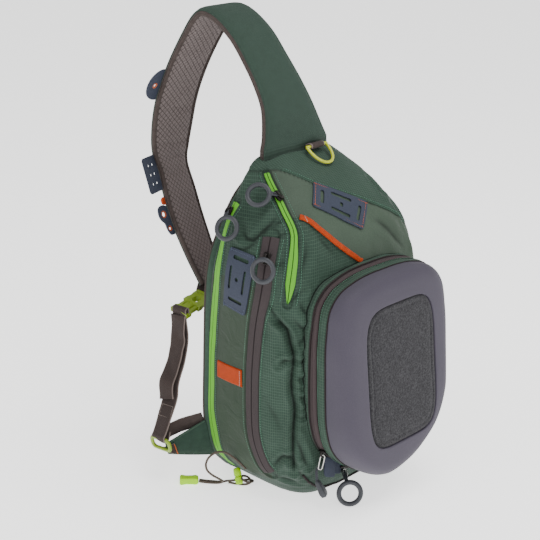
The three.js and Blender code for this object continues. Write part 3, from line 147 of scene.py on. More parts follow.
def shape_grid(mesh, points, weave=None):
    mesh.vertices.foreach_set("co", np.asarray(points, float).ravel())
    if weave is not None:
        corners = np.empty(len(mesh.loops), int)
        mesh.loops.foreach_get("vertex_index", corners)
        layer = mesh.uv_layers.new(name="weave")
        layer.uv.foreach_set("vector", np.asarray(weave, float)[corners].ravel())
    mesh.update()
    return mesh


def mesh_of(made, name):
    mesh = bpy.data.meshes.new(name)
    made.to_mesh(mesh)
    made.free()
    return mesh


def close_up(mesh, fill=False):
    """Merges the edges that meet, fills open ends if asked, and turns the faces outwards."""
    made = bmesh.new()
    made.from_mesh(mesh)
    bmesh.ops.remove_doubles(made, verts=made.verts, dist=0.02)
    if fill:
        bmesh.ops.holes_fill(made, edges=[e for e in made.edges if e.is_boundary])
    bmesh.ops.recalc_face_normals(made, faces=made.faces)
    made.to_mesh(mesh)
    made.free()
    return mesh


def put_on(name, mesh, finish, slot, *stands_for):
    """A finished piece from a mesh in millimetres, sewn to the bag."""
    mesh.transform(MM)
    mesh.name = name
    mesh.materials.clear()
    mesh.materials.append(finish)
    mesh.polygons.foreach_set("use_smooth", np.full(len(mesh.polygons), True))
    made = bpy.data.objects.new(name, mesh)
    scene.collection.objects.link(made)
    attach(made, "root")
    if stands_for:
        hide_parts(*stands_for)
    return made


def unit(v):
    """A vector, or each row of a table of them, at length 1."""
    v = np.asarray(v, float)
    return v / np.maximum(np.linalg.norm(v, axis=-1, keepdims=True), 1e-9)


def walked(line):
    """The distance walked along a line at each of its points."""
    return np.r_[0, np.cumsum(np.linalg.norm(np.diff(line, axis=0), axis=1))]


def along_of(line):
    """The length of a line in metres."""
    return float(walked(line)[-1]) / 1000


def steps(shares, count):
    return np.rint(shares * count).astype(int)


def blended(points, i, t):
    """Smooth values between rows i and i + 1 of a table, a share t past row i."""
    a, b, c, d = points[i - 1], points[i], points[i + 1], points[i + 2]
    return 0.5 * (2 * b + (c - a) * t + (2 * a - 5 * b + 4 * c - d) * t**2 + (3 * b - a - 3 * c + d) * t**3)


def past_ends(points):
    p = np.array(points, float)
    return np.vstack([2 * p[0] - p[1], p, 2 * p[-1] - p[-2]])


def through(points, count):
    """Evenly spaced points of a smooth line through the given ones."""
    p = past_ends(points)
    t = np.linspace(0, 1, 24, endpoint=False)[:, None]
    line = np.vstack([blended(p, i, t) for i in range(1, len(p) - 2)] + [p[-2][None]])
    at = walked(line)
    goal = np.linspace(0, at[-1], count)
    return np.stack([np.interp(goal, at, line[:, k]) for k in range(line.shape[1])], 1)


def rope_mesh(name, line, radius, sides=10, closed=False, up=(0, 0, 1)):
    """A round tube along a line."""
    line = np.asarray(line, float)
    if closed:
        line = np.vstack([line, line[:1]])
    count = len(line) - 1
    if closed:
        way = np.roll(line[:-1], -1, 0) - np.roll(line[:-1], 1, 0)
        way = np.vstack([way, way[:1]])
    else:
        way = np.gradient(line, axis=0)
    way = unit(way)
    aside = np.cross(way, np.array(up, float))
    thin = np.linalg.norm(aside, axis=1) < 0.25
    aside[thin] = np.cross(way[thin], (0.6, 0.8, 0))
    for i in range(1, len(aside)):
        if aside[i] @ aside[i - 1] < 0:
            aside[i] *= -1
    aside = unit(aside)
    over = np.cross(aside, way)
    mesh, u, v = mesh_grid(name, sides, count)
    row, angle = steps(v, count), 2 * np.pi * u
    size = np.broadcast_to(np.asarray(radius, float), (len(line),))[row]
    across, upward = (size * np.cos(angle))[:, None], (size * np.sin(angle))[:, None]
    points = line[row] + aside[row] * across + over[row] * upward
    shape_grid(mesh, points, np.stack([u * 2 * np.pi * size.mean(), walked(line)[row]], 1))
    return close_up(mesh, fill=not closed)


def mixed(tree, share, low, high):
    return add(tree, "Mix", {0: share, 6: low, 7: high}, data_type="RGBA").outputs[2]


def dyed(tree, colour, value, spread):
    """A colour that is up to spread darker and lighter with a noise value."""
    bounds = {"From Min": 0.3, "From Max": 0.7, "To Min": 1 - spread[0], "To Max": 1 + spread[1]}
    tone = add(tree, "MapRange", {"Value": value, **bounds}).outputs[0]
    return add(tree, "Mix", {0: 1.0, 6: colour, 7: tone}, data_type="RGBA", blend_type="MULTIPLY").outputs[2]


def noise_of(tree, place, scale, detail, **more):
    return add(tree, "TexNoise", {"Vector": place, "Scale": scale, "Detail": detail, **more}).outputs["Fac"]


def bands_of(tree, place, pitch, wobble, way):
    """Stripes a pitch apart in millimetres, the ribs of a weave."""
    inputs = {"Vector": place, "Scale": math.pi / pitch / 3, "Distortion": wobble}
    return add(tree, "TexWave", inputs, bands_direction=way).outputs["Fac"]


def complete(tree, shader, colour, *reliefs):
    """Links a colour, and reliefs of height, strength and depth, each over the last."""
    tree.links.new(colour, shader.inputs["Base Color"])
    inputs = {}
    for height, strength, depth in reliefs:
        inputs.update({"Height": height, "Strength": strength, "Distance": depth})
        inputs["Normal"] = add(tree, "Bump", inputs).outputs[0]
    tree.links.new(inputs["Normal"], shader.inputs["Normal"])


def braid_finish(name, code, dark, pitch):
    made, tree, shader = start_finish(name, code, 0.75, Sheen_Weight=0.062)
    weave = bands_of(tree, add(tree, "UVMap", uv_map="weave").outputs[0], pitch, 0.4, "DIAGONAL")
    complete(tree, shader, mixed(tree, weave, linear(dark), linear(code)), (weave, 0.5, 0.0004))
    return made


CORD_RADIUS = 1.5
# The route of each strand, as in the part: out, back and up
LOOP_POINTS = [(-121, 13, 27), (-127, 18, 36), (-136, 24, 47), (-146, 28, 55), (-156, 32, 57), (-165, 36, 52)]
LOOP_POINTS += [(-169, 38, 43), (-167, 38, 33), (-160, 37, 24), (-151, 36, 16), (-143, 36, 9)]
LOOP_POINTS += [(-139, 39, 4.5), (-141, 43, 2.2), (-146, 48, 1.9), (-153, 55, 2.6), (-160.5, 62.5, 4.2)]
TAIL_POINTS = [(-131.2, 25.8, 8.7), (-134, 37, 4.5), (-137, 42.5, 2.2), (-142, 50, 1.9)]
TAIL_POINTS += [(-149, 57.5, 2.6), (-157, 65.5, 4.2)]
# Braided elastic, dull and slightly fuzzy; the braid is drawn at about 1.2 mm
elastic_cord = braid_finish("braided_elastic_cord", "#6d6259", "#40382f", 1.2)


def grained_finish(name, code, roughness, **constants):
    """A moulded, cast or spun surface: its colour drifts a little and its skin is grained."""
    made, tree, shader = start_finish(name, code, roughness, **constants)
    place = add(tree, "TexCoord").outputs["Object"]
    skin = noise_of(tree, place, 300.0, 2.0)
    worn = {"Value": skin, "To Min": roughness * 0.85, "To Max": roughness * 1.15}
    tree.links.new(add(tree, "MapRange", worn).outputs[0], shader.inputs["Roughness"])
    drift = noise_of(tree, place, 60.0, 3.0)
    complete(tree, shader, dyed(tree, linear(code), drift, (0.07, 0.07)), (skin, 0.15, 0.0003))
    return made


# Bright translucent acetal, matt from its mould
lime_acetal = grained_finish("lime_translucent_moulding", "#a2da00", 0.42, Specular_IOR_Level=0.2)
loop_line, tail_line = through(LOOP_POINTS, 150), through(TAIL_POINTS, 60)
loop_mesh = rope_mesh("drawcord_loop", loop_line, CORD_RADIUS, 12)
tail_mesh = rope_mesh("drawcord_end_strand", tail_line, CORD_RADIUS, 12)
cord_loop = put_on("drawcord_loop", loop_mesh, elastic_cord, "cord", "drawcord")
cord_tail = put_on("drawcord_end_strand", tail_mesh, elastic_cord, "cord", "drawcord_tail")


def soften(made, edges, offset, segments):
    bmesh.ops.bevel(
        made, geom=edges, affect="EDGES", offset=offset, segments=segments, profile=0.5,
        material=-1, clamp_overlap=True,
    )


def tube_faces(made, rings):
    """Four-sided rings joined into a closed body."""
    made.faces.new(rings[0])
    made.faces.new(rings[-1][::-1])
    for a, b in zip(rings, rings[1:]):
        for i in range(4):
            made.faces.new((a[i], a[(i + 1) % 4], b[(i + 1) % 4], b[i]))


def rounded_block(name, rows, corner=0.35, segments=3):
    """A block swept through rectangles: each row is centre, half width way, half height way."""
    made = bmesh.new()
    rings = []
    for row in rows:
        c, w, t = (np.array(k, float) for k in row)
        rings.append([made.verts.new(s) for s in (c - w - t, c + w - t, c + w + t, c - w + t)])
    tube_faces(made, rings)
    bmesh.ops.recalc_face_normals(made, faces=made.faces)
    soften(made, [e for e in made.edges if e.calc_face_angle(0) > 0.35], corner, segments)
    return mesh_of(made, name)


def joined_mesh(name, *meshes):
    made = bmesh.new()
    for one in meshes:
        made.from_mesh(one)
    return mesh_of(made, name)


end_start = (loop_line[-1] + tail_line[-1]) / 2
end_way, end_side = np.array((-0.72, 0.69, 0.0)), np.array((0.69, 0.72, 0.0))
end_lift = np.array((0, 0, 5.4 - end_start[2]))
# Along, half width and half height: waisted in the middle, flared at its mouth
END_ROWS = ((0.6, 4.6, 3.6), (3.6, 5.9, 5.0), (9, 5.3, 4.5), (17, 5.2, 4.5), (23, 6.1, 5.1), (25.6, 5.7, 4.7))
end_rows = [(end_start + end_way * at + end_lift, end_side * wide, (0, 0, tall)) for at, wide, tall in END_ROWS]
end_mesh = rounded_block("cord_end_piece", end_rows, 1.4, 4)
cord_end = put_on("cord_end_piece", end_mesh, lime_acetal, "cord_plastic", "cord_end")

# The lock's barrel: share of its height and radius, with a groove where its halves meet
LOCK_ROWS = [(0, 3.4), (0.03, 4.3), (0.1, 5.0), (0.34, 5.3), (0.42, 5.3), (0.45, 4.4), (0.52, 4.4)]
LOCK_ROWS += [(0.55, 5.2), (0.8, 5.1), (0.95, 4.7), (1, 3.6)]
lock_foot, lock_head = np.array((-127.5, 18, 4.6)), np.array((-122.0, 30, 22))
lock_line = [lock_foot + (lock_head - lock_foot) * at for at, _ in LOCK_ROWS]
lock_mesh = rope_mesh("lock", lock_line, [radius for _, radius in LOCK_ROWS], 20, up=(0.1, 1, 0.05))
lock = put_on("cord_lock_barrel", lock_mesh, lime_acetal, "cord_plastic", "cord_lock")
KNOT_POINTS = [(-134, 33, 4), (-128, 24, 3), (-120, 14, 3), (-113, 12, 5), (-112, 19, 9), (-119, 22, 12)]
KNOT_POINTS += [(-125, 16, 12), (-122, 9, 9), (-114, 8, 7), (-109, 13, 5), (-111, 20, 4)]
KNOT_POINTS += [(-118, 25, 4), (-126, 31, 5)]
knot_mesh = rope_mesh("knot", through(KNOT_POINTS, 130), CORD_RADIUS, 10)
knot = put_on("drawcord_knot", knot_mesh, elastic_cord, "cord")
along_of(loop_line)
along_of(tail_line)


# Pack body: a cup of green ripstop nylon with smooth coated panels at the side and the
# front, cut and sewn, slack enough to crease down its front corner.
def eased(places, values):
    """A smooth value between the rows of a table, level at its ends."""
    x, y = np.array(places, float), np.array(values, float)
    gap = np.diff(x)
    rise = np.diff(y) / gap
    slope = np.zeros(len(x))
    slope[1:-1] = (rise[:-1] * gap[1:] + rise[1:] * gap[:-1]) / (gap[:-1] + gap[1:])

    def at(where):
        w = np.clip(where, x[0], x[-1])
        i = np.clip(np.searchsorted(x, w, side="right") - 1, 0, len(x) - 2)
        g, t = gap[i], (w - x[i]) / gap[i]
        bent = slope[i] * (1 - t) - slope[i + 1] * t
        return y[i] + (y[i + 1] - y[i]) * t * t * (3 - 2 * t) + g * t * (1 - t) * bent

    return at


HEIGHT, HALF_WIDTH, AXIS_UP, SEAM_BACK, FRONT = 434, 136, 190, 66, 82
# Half of the outline from the base's middle to the top: out and up as shares, and swell
OUTLINE = [(0, -0.042, 0), (0.33, -0.04, 0), (0.6, -0.02, 0), (0.77, 0.026, 0), (0.94, 0.097, 0)]
OUTLINE += [(0.99, 0.17, 0.01), (1, 0.29, 0.02), (0.98, 0.452, 0.04), (0.96, 0.578, 0.06), (0.89, 0.714, 0.12)]
OUTLINE += [(0.72, 0.812, 0.16), (0.53, 0.889, 0.15), (0.3, 0.935, 0.13), (0, 0.949, 0.105)]
out_share, up_share, swell = np.array(OUTLINE, float).T
out_x, out_z = out_share * HALF_WIDTH, up_share * HEIGHT - AXIS_UP
out_turn = np.degrees(np.arctan2(out_x, -out_z))
reach_at = eased(out_turn, np.hypot(out_x, out_z))
swell_at = eased(out_turn, swell)
front_at = eased((0, 0.1, 0.25, 0.5, 0.69, 0.8, 0.92, 1), (1.04, 1.05, 1.0, 0.98, 0.95, 0.76, 0.27, -0.18))
# Soft dents: turn, deep and depth
DENTS = [(-127, 0.82, 6.3), (-112, 0.9, 4.9), (-62, 0.9, 5.6), (-45, 0.84, 6.3)]
DENTS += [(127, 0.84, 6.3), (62, 0.9, 5.6)]


def body_reach(turn, deep):
    grown = 1 - (1 - np.minimum(np.maximum(deep, 0) / 0.3, 1)) ** 2
    past = np.clip((deep - 0.3) / 0.7, 0, 1)
    return reach_at(np.abs(turn)) * (1 + swell_at(np.abs(turn)) * grown * (1 - 0.5 * past))


def rounded(deep):
    return (1 - np.clip(deep, 0, 1) ** 6) ** (1 / 6)


def body(turn, deep, inset=0.0):
    """Points of the bag's surface. turn is in degrees from straight down, deep a share."""
    turn, deep = np.broadcast_arrays(np.asarray(turn, float), np.asarray(deep, float))
    dent = np.zeros(turn.shape)
    for at, share, depth in DENTS:
        away = ((turn - at) / 16) ** 2 + ((deep - share) / 0.16) ** 2
        dent += depth * np.clip(1 - away, 0, 1) ** 2
    far = rounded(deep) * (body_reach(turn, deep) - inset - dent)
    angle = np.radians(turn)
    z = np.maximum(AXIS_UP - far * np.cos(angle), inset)
    y = SEAM_BACK - (SEAM_BACK + FRONT * front_at(z / HEIGHT) - inset) * deep
    return np.stack([far * np.sin(angle), y, z], -1)


def body_normal(turn, deep):
    deep = np.clip(deep, 0.004, 0.992)
    du = body(turn + 0.7, deep) - body(turn - 0.7, deep)
    dv = body(turn, deep + 0.004) - body(turn, deep - 0.004)
    n = unit(np.cross(du, dv))
    p = body(turn, deep) - np.array((0, 10, AXIS_UP))
    return n * np.where((n * p).sum(-1, keepdims=True) < 0, -1, 1)


def front_spot(x, z):
    """turn and deep of a place on the front face."""
    turn = np.degrees(np.arctan2(x, AXIS_UP - z))
    far = np.hypot(x, AXIS_UP - z)
    deep = np.ones_like(turn)
    for _ in range(6):
        deep = rounded(far / body_reach(turn, deep))
    return turn, deep


# The long crease down the front's left corner
FRONT_CORNER = [(-119, 0.77), (-116, 0.85), (-107, 0.89), (-99, 0.92), (-84, 0.91), (-69, 0.92)]
FRONT_CORNER += [(-56, 0.91), (-46, 0.89), (-38, 0.86)]
# Creases and puckers of the slack cloth: turn and deep along each, width, depth (mm) and
# how far the cloth beside it stands up
CREASES = [
    (FRONT_CORNER, 3.8, 8.0, 0.4),
    ([(-144, 0.41), (-142, 0.51), (-146, 0.65), (-153, 0.78)], 5.5, 4.5, 0.6),
    ([(-138, 0.37), (-139, 0.48), (-143, 0.61)], 5, 3.0, 0.5),
    ([(-149, 0.73), (-154, 0.84)], 4, 3.5, 0.6),
    ([(-142, 0.69), (-146, 0.77), (-151, 0.86)], 4.5, 3.8, 0.7),
    ([(-139, 0.68), (-138, 0.77), (-142, 0.87)], 5, 3.0, 0.6),
    ([(-94, 0.82), (-98, 0.87), (-97, 0.92)], 3.4, 3.2, 0.8),
    ([(-98, 0.93), (-97, 0.96), (-92, 0.972)], 3.2, 3.0, 0.8),
    ([(-101, 0.955), (-107, 0.972), (-113, 0.98)], 4, 3.2, 0.6),
    ([(-126, 0.86), (-131, 0.91), (-136, 0.95)], 4, 3.4, 0.7),
    ([(-118, 0.79), (-122, 0.74), (-126, 0.7)], 4, 3.0, 0.6),
    ([(-108, 0.93), (-115, 0.96), (-124, 0.97)], 4.5, 3.2, 0.6),
    ([(-88, 0.93), (-85, 0.955), (-83, 0.965)], 3, 2.2, 0.8),
    ([(-75, 0.935), (-72, 0.955), (-69, 0.965)], 3, 2.4, 0.8),
    ([(-62, 0.925), (-60, 0.95), (-59, 0.965)], 3, 2.2, 0.8),
    ([(-43, 0.72), (-46, 0.83), (-41, 0.89)], 4, 3.4, 0.7),
    ([(-52, 0.925), (-44, 0.94), (-36, 0.94)], 4.5, 3.0, 0.6),
    ([(-40, 0.9), (-32, 0.89)], 4, 2.6, 0.7),
    ([(-42, 0.62), (-37, 0.74), (-31, 0.85)], 4.5, 2.6, 0.6),
    ([(-153, 0.935), (-148, 0.94), (-140, 0.93)], 6, 2.6, 0.5),
    ([(-159, 0.955), (-160, 0.975), (-162, 0.99)], 7, 2.4, 0.5),
    ([(-154, 0.905), (-148, 0.91), (-141, 0.905)], 5, 2.4, 0.5),
    ([(-131, 0.93), (-127, 0.965), (-130, 0.985)], 6, 3.0, 0.5),
    ([(-122, 0.9), (-119, 0.95), (-121, 0.975)], 5, 3.0, 0.6),
    ([(-124, 0.61), (-116, 0.68), (-103, 0.69)], 7, 1.6, 0.3),
    ([(-74, 0.7), (-66, 0.78), (-57, 0.83)], 8, 1.6, 0.3),
    ([(166, 0.975), (152, 0.975), (142, 0.97)], 7, 2.6, 0.4),
    ([(150, 0.85), (141, 0.88), (131, 0.9)], 5, 3.0, 0.6),
    ([(158, 0.8), (154, 0.86)], 4, 3.4, 0.6),
    ([(118, 0.78), (107, 0.89), (84, 0.91), (56, 0.91), (40, 0.87)], 4, 5.0, 0.35),
    ([(94, 0.82), (98, 0.87), (97, 0.92)], 4, 3.0, 0.8),
    ([(62, 0.7), (70, 0.8), (74, 0.9)], 6, 2.4, 0.5),
    ([(128, 0.7), (138, 0.62), (150, 0.6)], 6, 2.8, 0.5),
]
crease_lines = []
for rows, wide, depth, proud in CREASES:
    fine = through(rows, 22)
    crease_lines.append((body(fine[:, 0], fine[:, 1]), wide, depth, proud))


def away_from(points, line):
    """The distance from each point to a line of many short straight pieces."""
    a, b = line[:-1], line[1:]
    d = b - a
    best = np.full(len(points), 1e9)
    for i in range(len(a)):
        t = np.clip(((points - a[i]) @ d[i]) / (d[i] @ d[i]), 0, 1)
        best = np.minimum(best, np.linalg.norm(points - (a[i] + t[:, None] * d[i]), axis=1))
    return best


# Places where a zipper or a patch holds the cloth flat: turn and deep along each, and reach
SIDE_ZIP = [(-146, 0.73), (-137, 0.7), (-128, 0.67), (-115, 0.61), (-99, 0.58), (-82, 0.56)]
SIDE_ZIP += [(-61, 0.56), (-51, 0.58), (-44, 0.62), (-40, 0.66)]
FRONT_ZIP = [(-163.5, 0.585), (-161, 0.68), (-158.5, 0.77), (-156, 0.83), (-153, 0.88), (-148, 0.89)]
FRONT_ZIP += [(-139, 0.89), (-130, 0.87), (-127, 0.86)]
FLAT = [(SIDE_ZIP, 11), (FRONT_ZIP, 6)]
FLAT += [([(-131, 0.44), (-121, 0.38)], 20), ([(-80.5, 0.14), (-80.5, 0.42)], 12)]
flat_lines = [(body(*through(rows, 40).T), reach) for rows, reach in FLAT]
patch_x = np.array((-25.0, -12, 0, 14, 28))
flat_lines.append((body(*front_spot(patch_x, 387 - 0.3 * patch_x)), 19))


def slack(points, shade=None):
    """How far the cloth stands off its pattern, from its creases and its soft unevenness.
    shade gathers how deep in a crease each point is, for the painted shade drawn there."""
    lift = np.zeros(len(points))
    for line, wide, depth, proud in crease_lines:
        low, high = line.min(0) - 5 * wide, line.max(0) + 5 * wide
        near = np.all((points > low) & (points < high), axis=1)
        if near.any():
            d = away_from(points[near], line)
            to_start, to_end = (np.linalg.norm(points[near] - end, axis=1) for end in (line[0], line[-1]))
            fade = np.clip(np.minimum(to_start, to_end) / (3 * wide), 0, 1) ** 0.7
            valley = -depth * np.exp(-((d / wide) ** 1.1))
            bank = proud * depth * np.exp(-(((d - 2.0 * wide) / wide) ** 2))
            lift[near] += (valley + bank) * fade
            # Painted shade: the deeper down in a crease a point lies, the darker its cloth is drawn
            if shade is not None:
                painted_shade_share = np.exp(-((2.2 * d / wide) ** 2)) * fade * min(depth / 4, 1)
                shade[near] = np.maximum(shade[near], painted_shade_share)
    broad = np.array([noise.noise(Vector(p) / 48) for p in points])
    small = np.array([noise.noise(Vector((x / 17, y / 17, z / 30))) for x, y, z in points])
    soft = broad * 1.7 + small * 0.75
    foot = np.clip((points[:, 2] - 2) / 12, 0, 1)
    seam = np.clip((SEAM_BACK - points[:, 1]) / 14, 0, 1)
    calm = np.ones(len(points))
    for line, reach in flat_lines:
        near = np.all((points > line.min(0) - reach - 14) & (points < line.max(0) + reach + 14), axis=1)
        if near.any():
            t = np.clip((away_from(points[near], line) - reach) / 12, 0, 1)
            calm[near] *= t * t * (3 - 2 * t)
    return (lift + soft) * foot * seam * calm


def cloth(turn, deep, lift=0.0):
    """Points on the slack cloth, lift above it."""
    turn, deep = np.broadcast_arrays(np.asarray(turn, float), np.asarray(deep, float))
    base = body(turn, deep)
    return base + body_normal(turn, deep) * (slack(base) + lift)[:, None]


# The main zipper's turn and share of the seam's distance back
MAIN_ZIP = [(31, 0.82), (40, 0.864), (105, 0.864), (117, 0.8), (127, 0.72), (144, 0.69), (151, 0.61)]


def main_zip_rows(side):
    turn = np.linspace(31, 151, 42)
    back_at = eased(*np.array(MAIN_ZIP).T)
    y = SEAM_BACK * back_at(turn)
    deep = np.full(len(turn), 0.06)
    for _ in range(8):
        z = body(side * turn, deep)[:, 2]
        deep = (SEAM_BACK - y) / (SEAM_BACK + FRONT * front_at(z / HEIGHT))
    return np.stack([side * turn, deep], 1)


# The yoke's lower seam and the elastic's line, as height over x
YOKE_SEAM = ((-67, -53, -46, -33, -19, 45, 80, 118), (419, 420, 417, 409, 400, 371, 352, 326))
ELASTIC = ((-72, -64, -56, -48, -38, -25, -9, 2, 9, 14), (374, 368.5, 359, 349, 338.5, 327, 314, 308, 304, 250))
yoke_seam = lambda x: np.interp(x, *YOKE_SEAM)
elastic_line = lambda x: np.interp(x, *ELASTIC)

# Grid rows: even steps along the depth, and closer turns on the creased left side
bend = np.radians(np.linspace(0, 90, 2000))
arc = np.stack([150 * np.sin(bend) ** (1 / 3), 185 * np.cos(bend) ** (1 / 3)], 1)
arc_walked = walked(arc)
fine_turn = np.linspace(-180, 180, 1441)
edge = np.stack([reach_at(abs(fine_turn)) * f(np.radians(fine_turn)) for f in (np.sin, np.cos)], 1)
step = np.linalg.norm(np.diff(edge, axis=0), axis=1)
step *= np.where((fine_turn[:-1] > -168) & (fine_turn[:-1] < -28), 2.1, 1.0)
turn_walked = np.r_[0, np.cumsum(step)] / step.sum()

body_mesh, u, v = mesh_grid("body", 560, 210)
turn = np.interp(u, turn_walked, fine_turn)
bend_at = np.interp(v * arc_walked[-1] * 0.995, arc_walked, bend)
deep = np.sin(bend_at) ** (1 / 3)
base = body(turn, deep)
crease_shade = np.zeros(len(base))
lift = slack(base, crease_shade)
# The hems stand up beside each zipper, and the tape lies in a shallow channel; painted shade darkens the cloth
# at each hem's foot
for rows, wide in ((SIDE_ZIP, 22), (FRONT_ZIP, 11), (main_zip_rows(-1), 14), (main_zip_rows(1), 14)):
    path = through(rows, 50)
    d = away_from(base, body(path[:, 0], path[:, 1]))
    hem = np.exp(-(((d - wide / 2 - 0.4) / 0.9) ** 2))
    crease_shade = np.maximum(crease_shade, 0.55 * hem)
    lift += 1.5 * np.exp(-(((d - wide / 2 - 2.0) / 1.7) ** 2)) - 1.4 * np.clip((wide / 2 + 0.6 - d) / 1.4, 0, 1)
above_seam = base[:, 2] - yoke_seam(base[:, 0])
lift += 1.1 * np.clip(above_seam / 1.6, 0, 1) * (deep > 0.1)
points = base + body_normal(turn, deep) * lift[:, None]
points[:, 2] = np.maximum(points[:, 2], 0.0)
side_way = np.stack([points[:, 2], (SEAM_BACK - points[:, 1]) + (140 - np.abs(points[:, 0]))], 1)
top_way = np.stack([points[:, 0], (SEAM_BACK - points[:, 1]) + (HEIGHT - points[:, 2])], 1)
is_top = (above_seam > 0)[:, None]
shape_grid(body_mesh, points, np.where(is_top, top_way, side_way))
# How far each point lies inside a smooth coated panel, in millimetres
side_deep = np.interp(turn, *np.array(SIDE_ZIP).T)
front_deep = np.interp(turn, *np.array(sorted(FRONT_ZIP)).T)
side_panel = np.minimum((side_deep - deep) * 140, np.minimum(turn + 128, -34 - turn) * 2.4)
in_front = np.where(turn < -126, (deep - front_deep) * 140, 40)
above_elastic = base[:, 2] - elastic_line(base[:, 0])
front_panel = np.minimum(np.minimum(-above_seam, above_elastic) * 0.85, in_front)
front_panel = np.where(deep > 0.6, front_panel, -40)
# Painted shade, kept in the crease attribute: creases, the hems' feet and a line just under the yoke seam's
# piping are drawn darker
dark = np.maximum(crease_shade, 0.75 * np.exp(-(((above_seam + 0.8) / 0.9) ** 2)) * (deep > 0.3))
for name, values in (
    ("crease", dark), ("smooth_panel", np.maximum(side_panel, front_panel)), ("front_panel", front_panel),
):
    layer = body_mesh.attributes.new(name, "FLOAT", "POINT")
    layer.data.foreach_set("value", values.astype(np.float32))


def inside(tree, name):
    """1 where a panel's attribute is over 0, with a soft edge."""
    value = add(tree, "Attribute", attribute_name=name).outputs["Fac"]
    return add(tree, "MapRange", {"Value": value, "From Min": -0.3, "From Max": 0.3}).outputs[0]


def pack_cloth(name, code, grid_code, panel_code=None):
    """Ripstop nylon with a light grid of heavier yarn, and a smooth coated cloth where the
    piece has that attribute. The fine weave is drawn at 1 mm and the grid at 3.8 mm, both
    coarser than they are."""
    made, tree, shader = start_finish(name, code, 0.62, Sheen_Weight=0.045, Sheen_Roughness=0.5)
    place = add(tree, "TexCoord").outputs["Object"]
    grid = {"Scale": 1.0, "Mortar Size": 0.42, "Mortar Smooth": 0.9, "Brick Width": 3.8, "Row Height": 3.8}
    grid["Vector"] = add(tree, "UVMap", uv_map="weave").outputs[0]
    height = add(tree, "TexBrick", grid, offset=0.0, squash=1.0).outputs["Fac"]
    colour = mixed(tree, height, linear(code), linear(grid_code))
    if panel_code:
        is_panel = inside(tree, "smooth_panel")
        smooth = mixed(tree, inside(tree, "front_panel"), linear(panel_code), linear("#424f43"))
        colour = mixed(tree, is_panel, colour, smooth)
        height = add(tree, "Mix", {0: is_panel, 2: height, 3: 0.0}, data_type="FLOAT").outputs[0]
        # Painted shade: the cloth turns nearly black down in its creases, at the hems' feet and under the yoke
        # seam
        fold = add(tree, "Attribute", attribute_name="crease").outputs["Fac"]
        painted_shade_share = add(tree, "Math", {0: fold, 1: 0.85}, operation="MULTIPLY").outputs[0]
        colour = mixed(tree, painted_shade_share, colour, linear("#0c120e"))
    thread = noise_of(tree, place, 900.0, 1.0)
    colour = dyed(tree, colour, noise_of(tree, place, 14.0, 3.0), (0.12, 0.1))
    colour = dyed(tree, colour, thread, (0.1, 0.1))
    crumple = noise_of(tree, place, 34.0, 3.0, Roughness=0.55, Distortion=1.4)
    complete(tree, shader, colour, (crumple, 0.5, 0.004), (height, 0.35, 0.0005), (thread, 0.25, 0.0004))
    return made


# Matt green ripstop with a faint grid; the coated panels are smoother and greyer, and painted shade darkens its
# creases
body_cloth = pack_cloth("green_ripstop_nylon", "#2d3f35", "#43574a", "#344034")
put_on("pack_body", close_up(body_mesh), body_cloth, "cloth", "body_shell")


# Zippers: coated lime tape for the main and front openings and plain brown tape for the
# side one. Each is two tapes that meet in a narrow slit over the coil.
def sideways_steps(turn, deep):
    """How turn and deep change for one millimetre to the side of a path."""
    du = (body(turn + 0.4, deep) - body(turn - 0.4, deep)) / 0.8
    dv = (body(turn, deep + 0.003) - body(turn, deep - 0.003)) / 0.006
    aside = np.cross(unit(np.gradient(body(turn, deep), axis=0)), unit(np.cross(du, dv)))
    a, b, c = (du * du).sum(1), (du * dv).sum(1), (dv * dv).sum(1)
    e, f = (aside * du).sum(1), (aside * dv).sum(1)
    det = a * c - b * b
    return (e * c - f * b) / det, (a * f - b * e) / det


def band_on_cloth(name, rows, wide, profile, along=150, across=18, lift=0.6, taper=((0, 1), (1, 1))):
    """A strip on the cloth. profile gives its height over its share of the width, taper
    the share of its width along its length."""
    turn, deep = through(rows, along + 1).T
    per_turn, per_deep = sideways_steps(turn, deep)
    mesh, u, v = mesh_grid(name, across, along)
    row = steps(v, along)
    off = (u - 0.5) * wide * np.interp(v, *np.array(taper, float).T)
    t, d = turn[row] + per_turn[row] * off, np.clip(deep[row] + per_deep[row] * off, 0.001, 0.999)
    middle = body(turn, deep)
    height = slack(middle)[row] + lift + np.interp(u, *np.array(profile).T)
    points = body(t, d) + body_normal(t, d) * height[:, None]
    return shape_grid(mesh, points, np.stack([off, walked(middle)[row]], 1))


def thickened(mesh, thick):
    made = bmesh.new()
    made.from_mesh(mesh)
    bmesh.ops.recalc_face_normals(made, faces=made.faces)
    bmesh.ops.solidify(made, geom=made.faces, thickness=thick)
    made.to_mesh(mesh)
    made.free()
    return mesh


TAPE_PROFILE = [(0, -0.9), (0.04, 0.0), (0.3, 0.35), (0.42, 0.75), (0.455, 0.8), (0.475, -0.35)]
TAPE_PROFILE += [(1 - share, height) for share, height in TAPE_PROFILE[::-1]]


def off_middle(tree, spot):
    """How far a place is from the middle of its strip, in millimetres."""
    across = add(tree, "SeparateXYZ", {0: spot}).outputs[0]
    return add(tree, "Math", {0: across}, operation="ABSOLUTE").outputs[0]


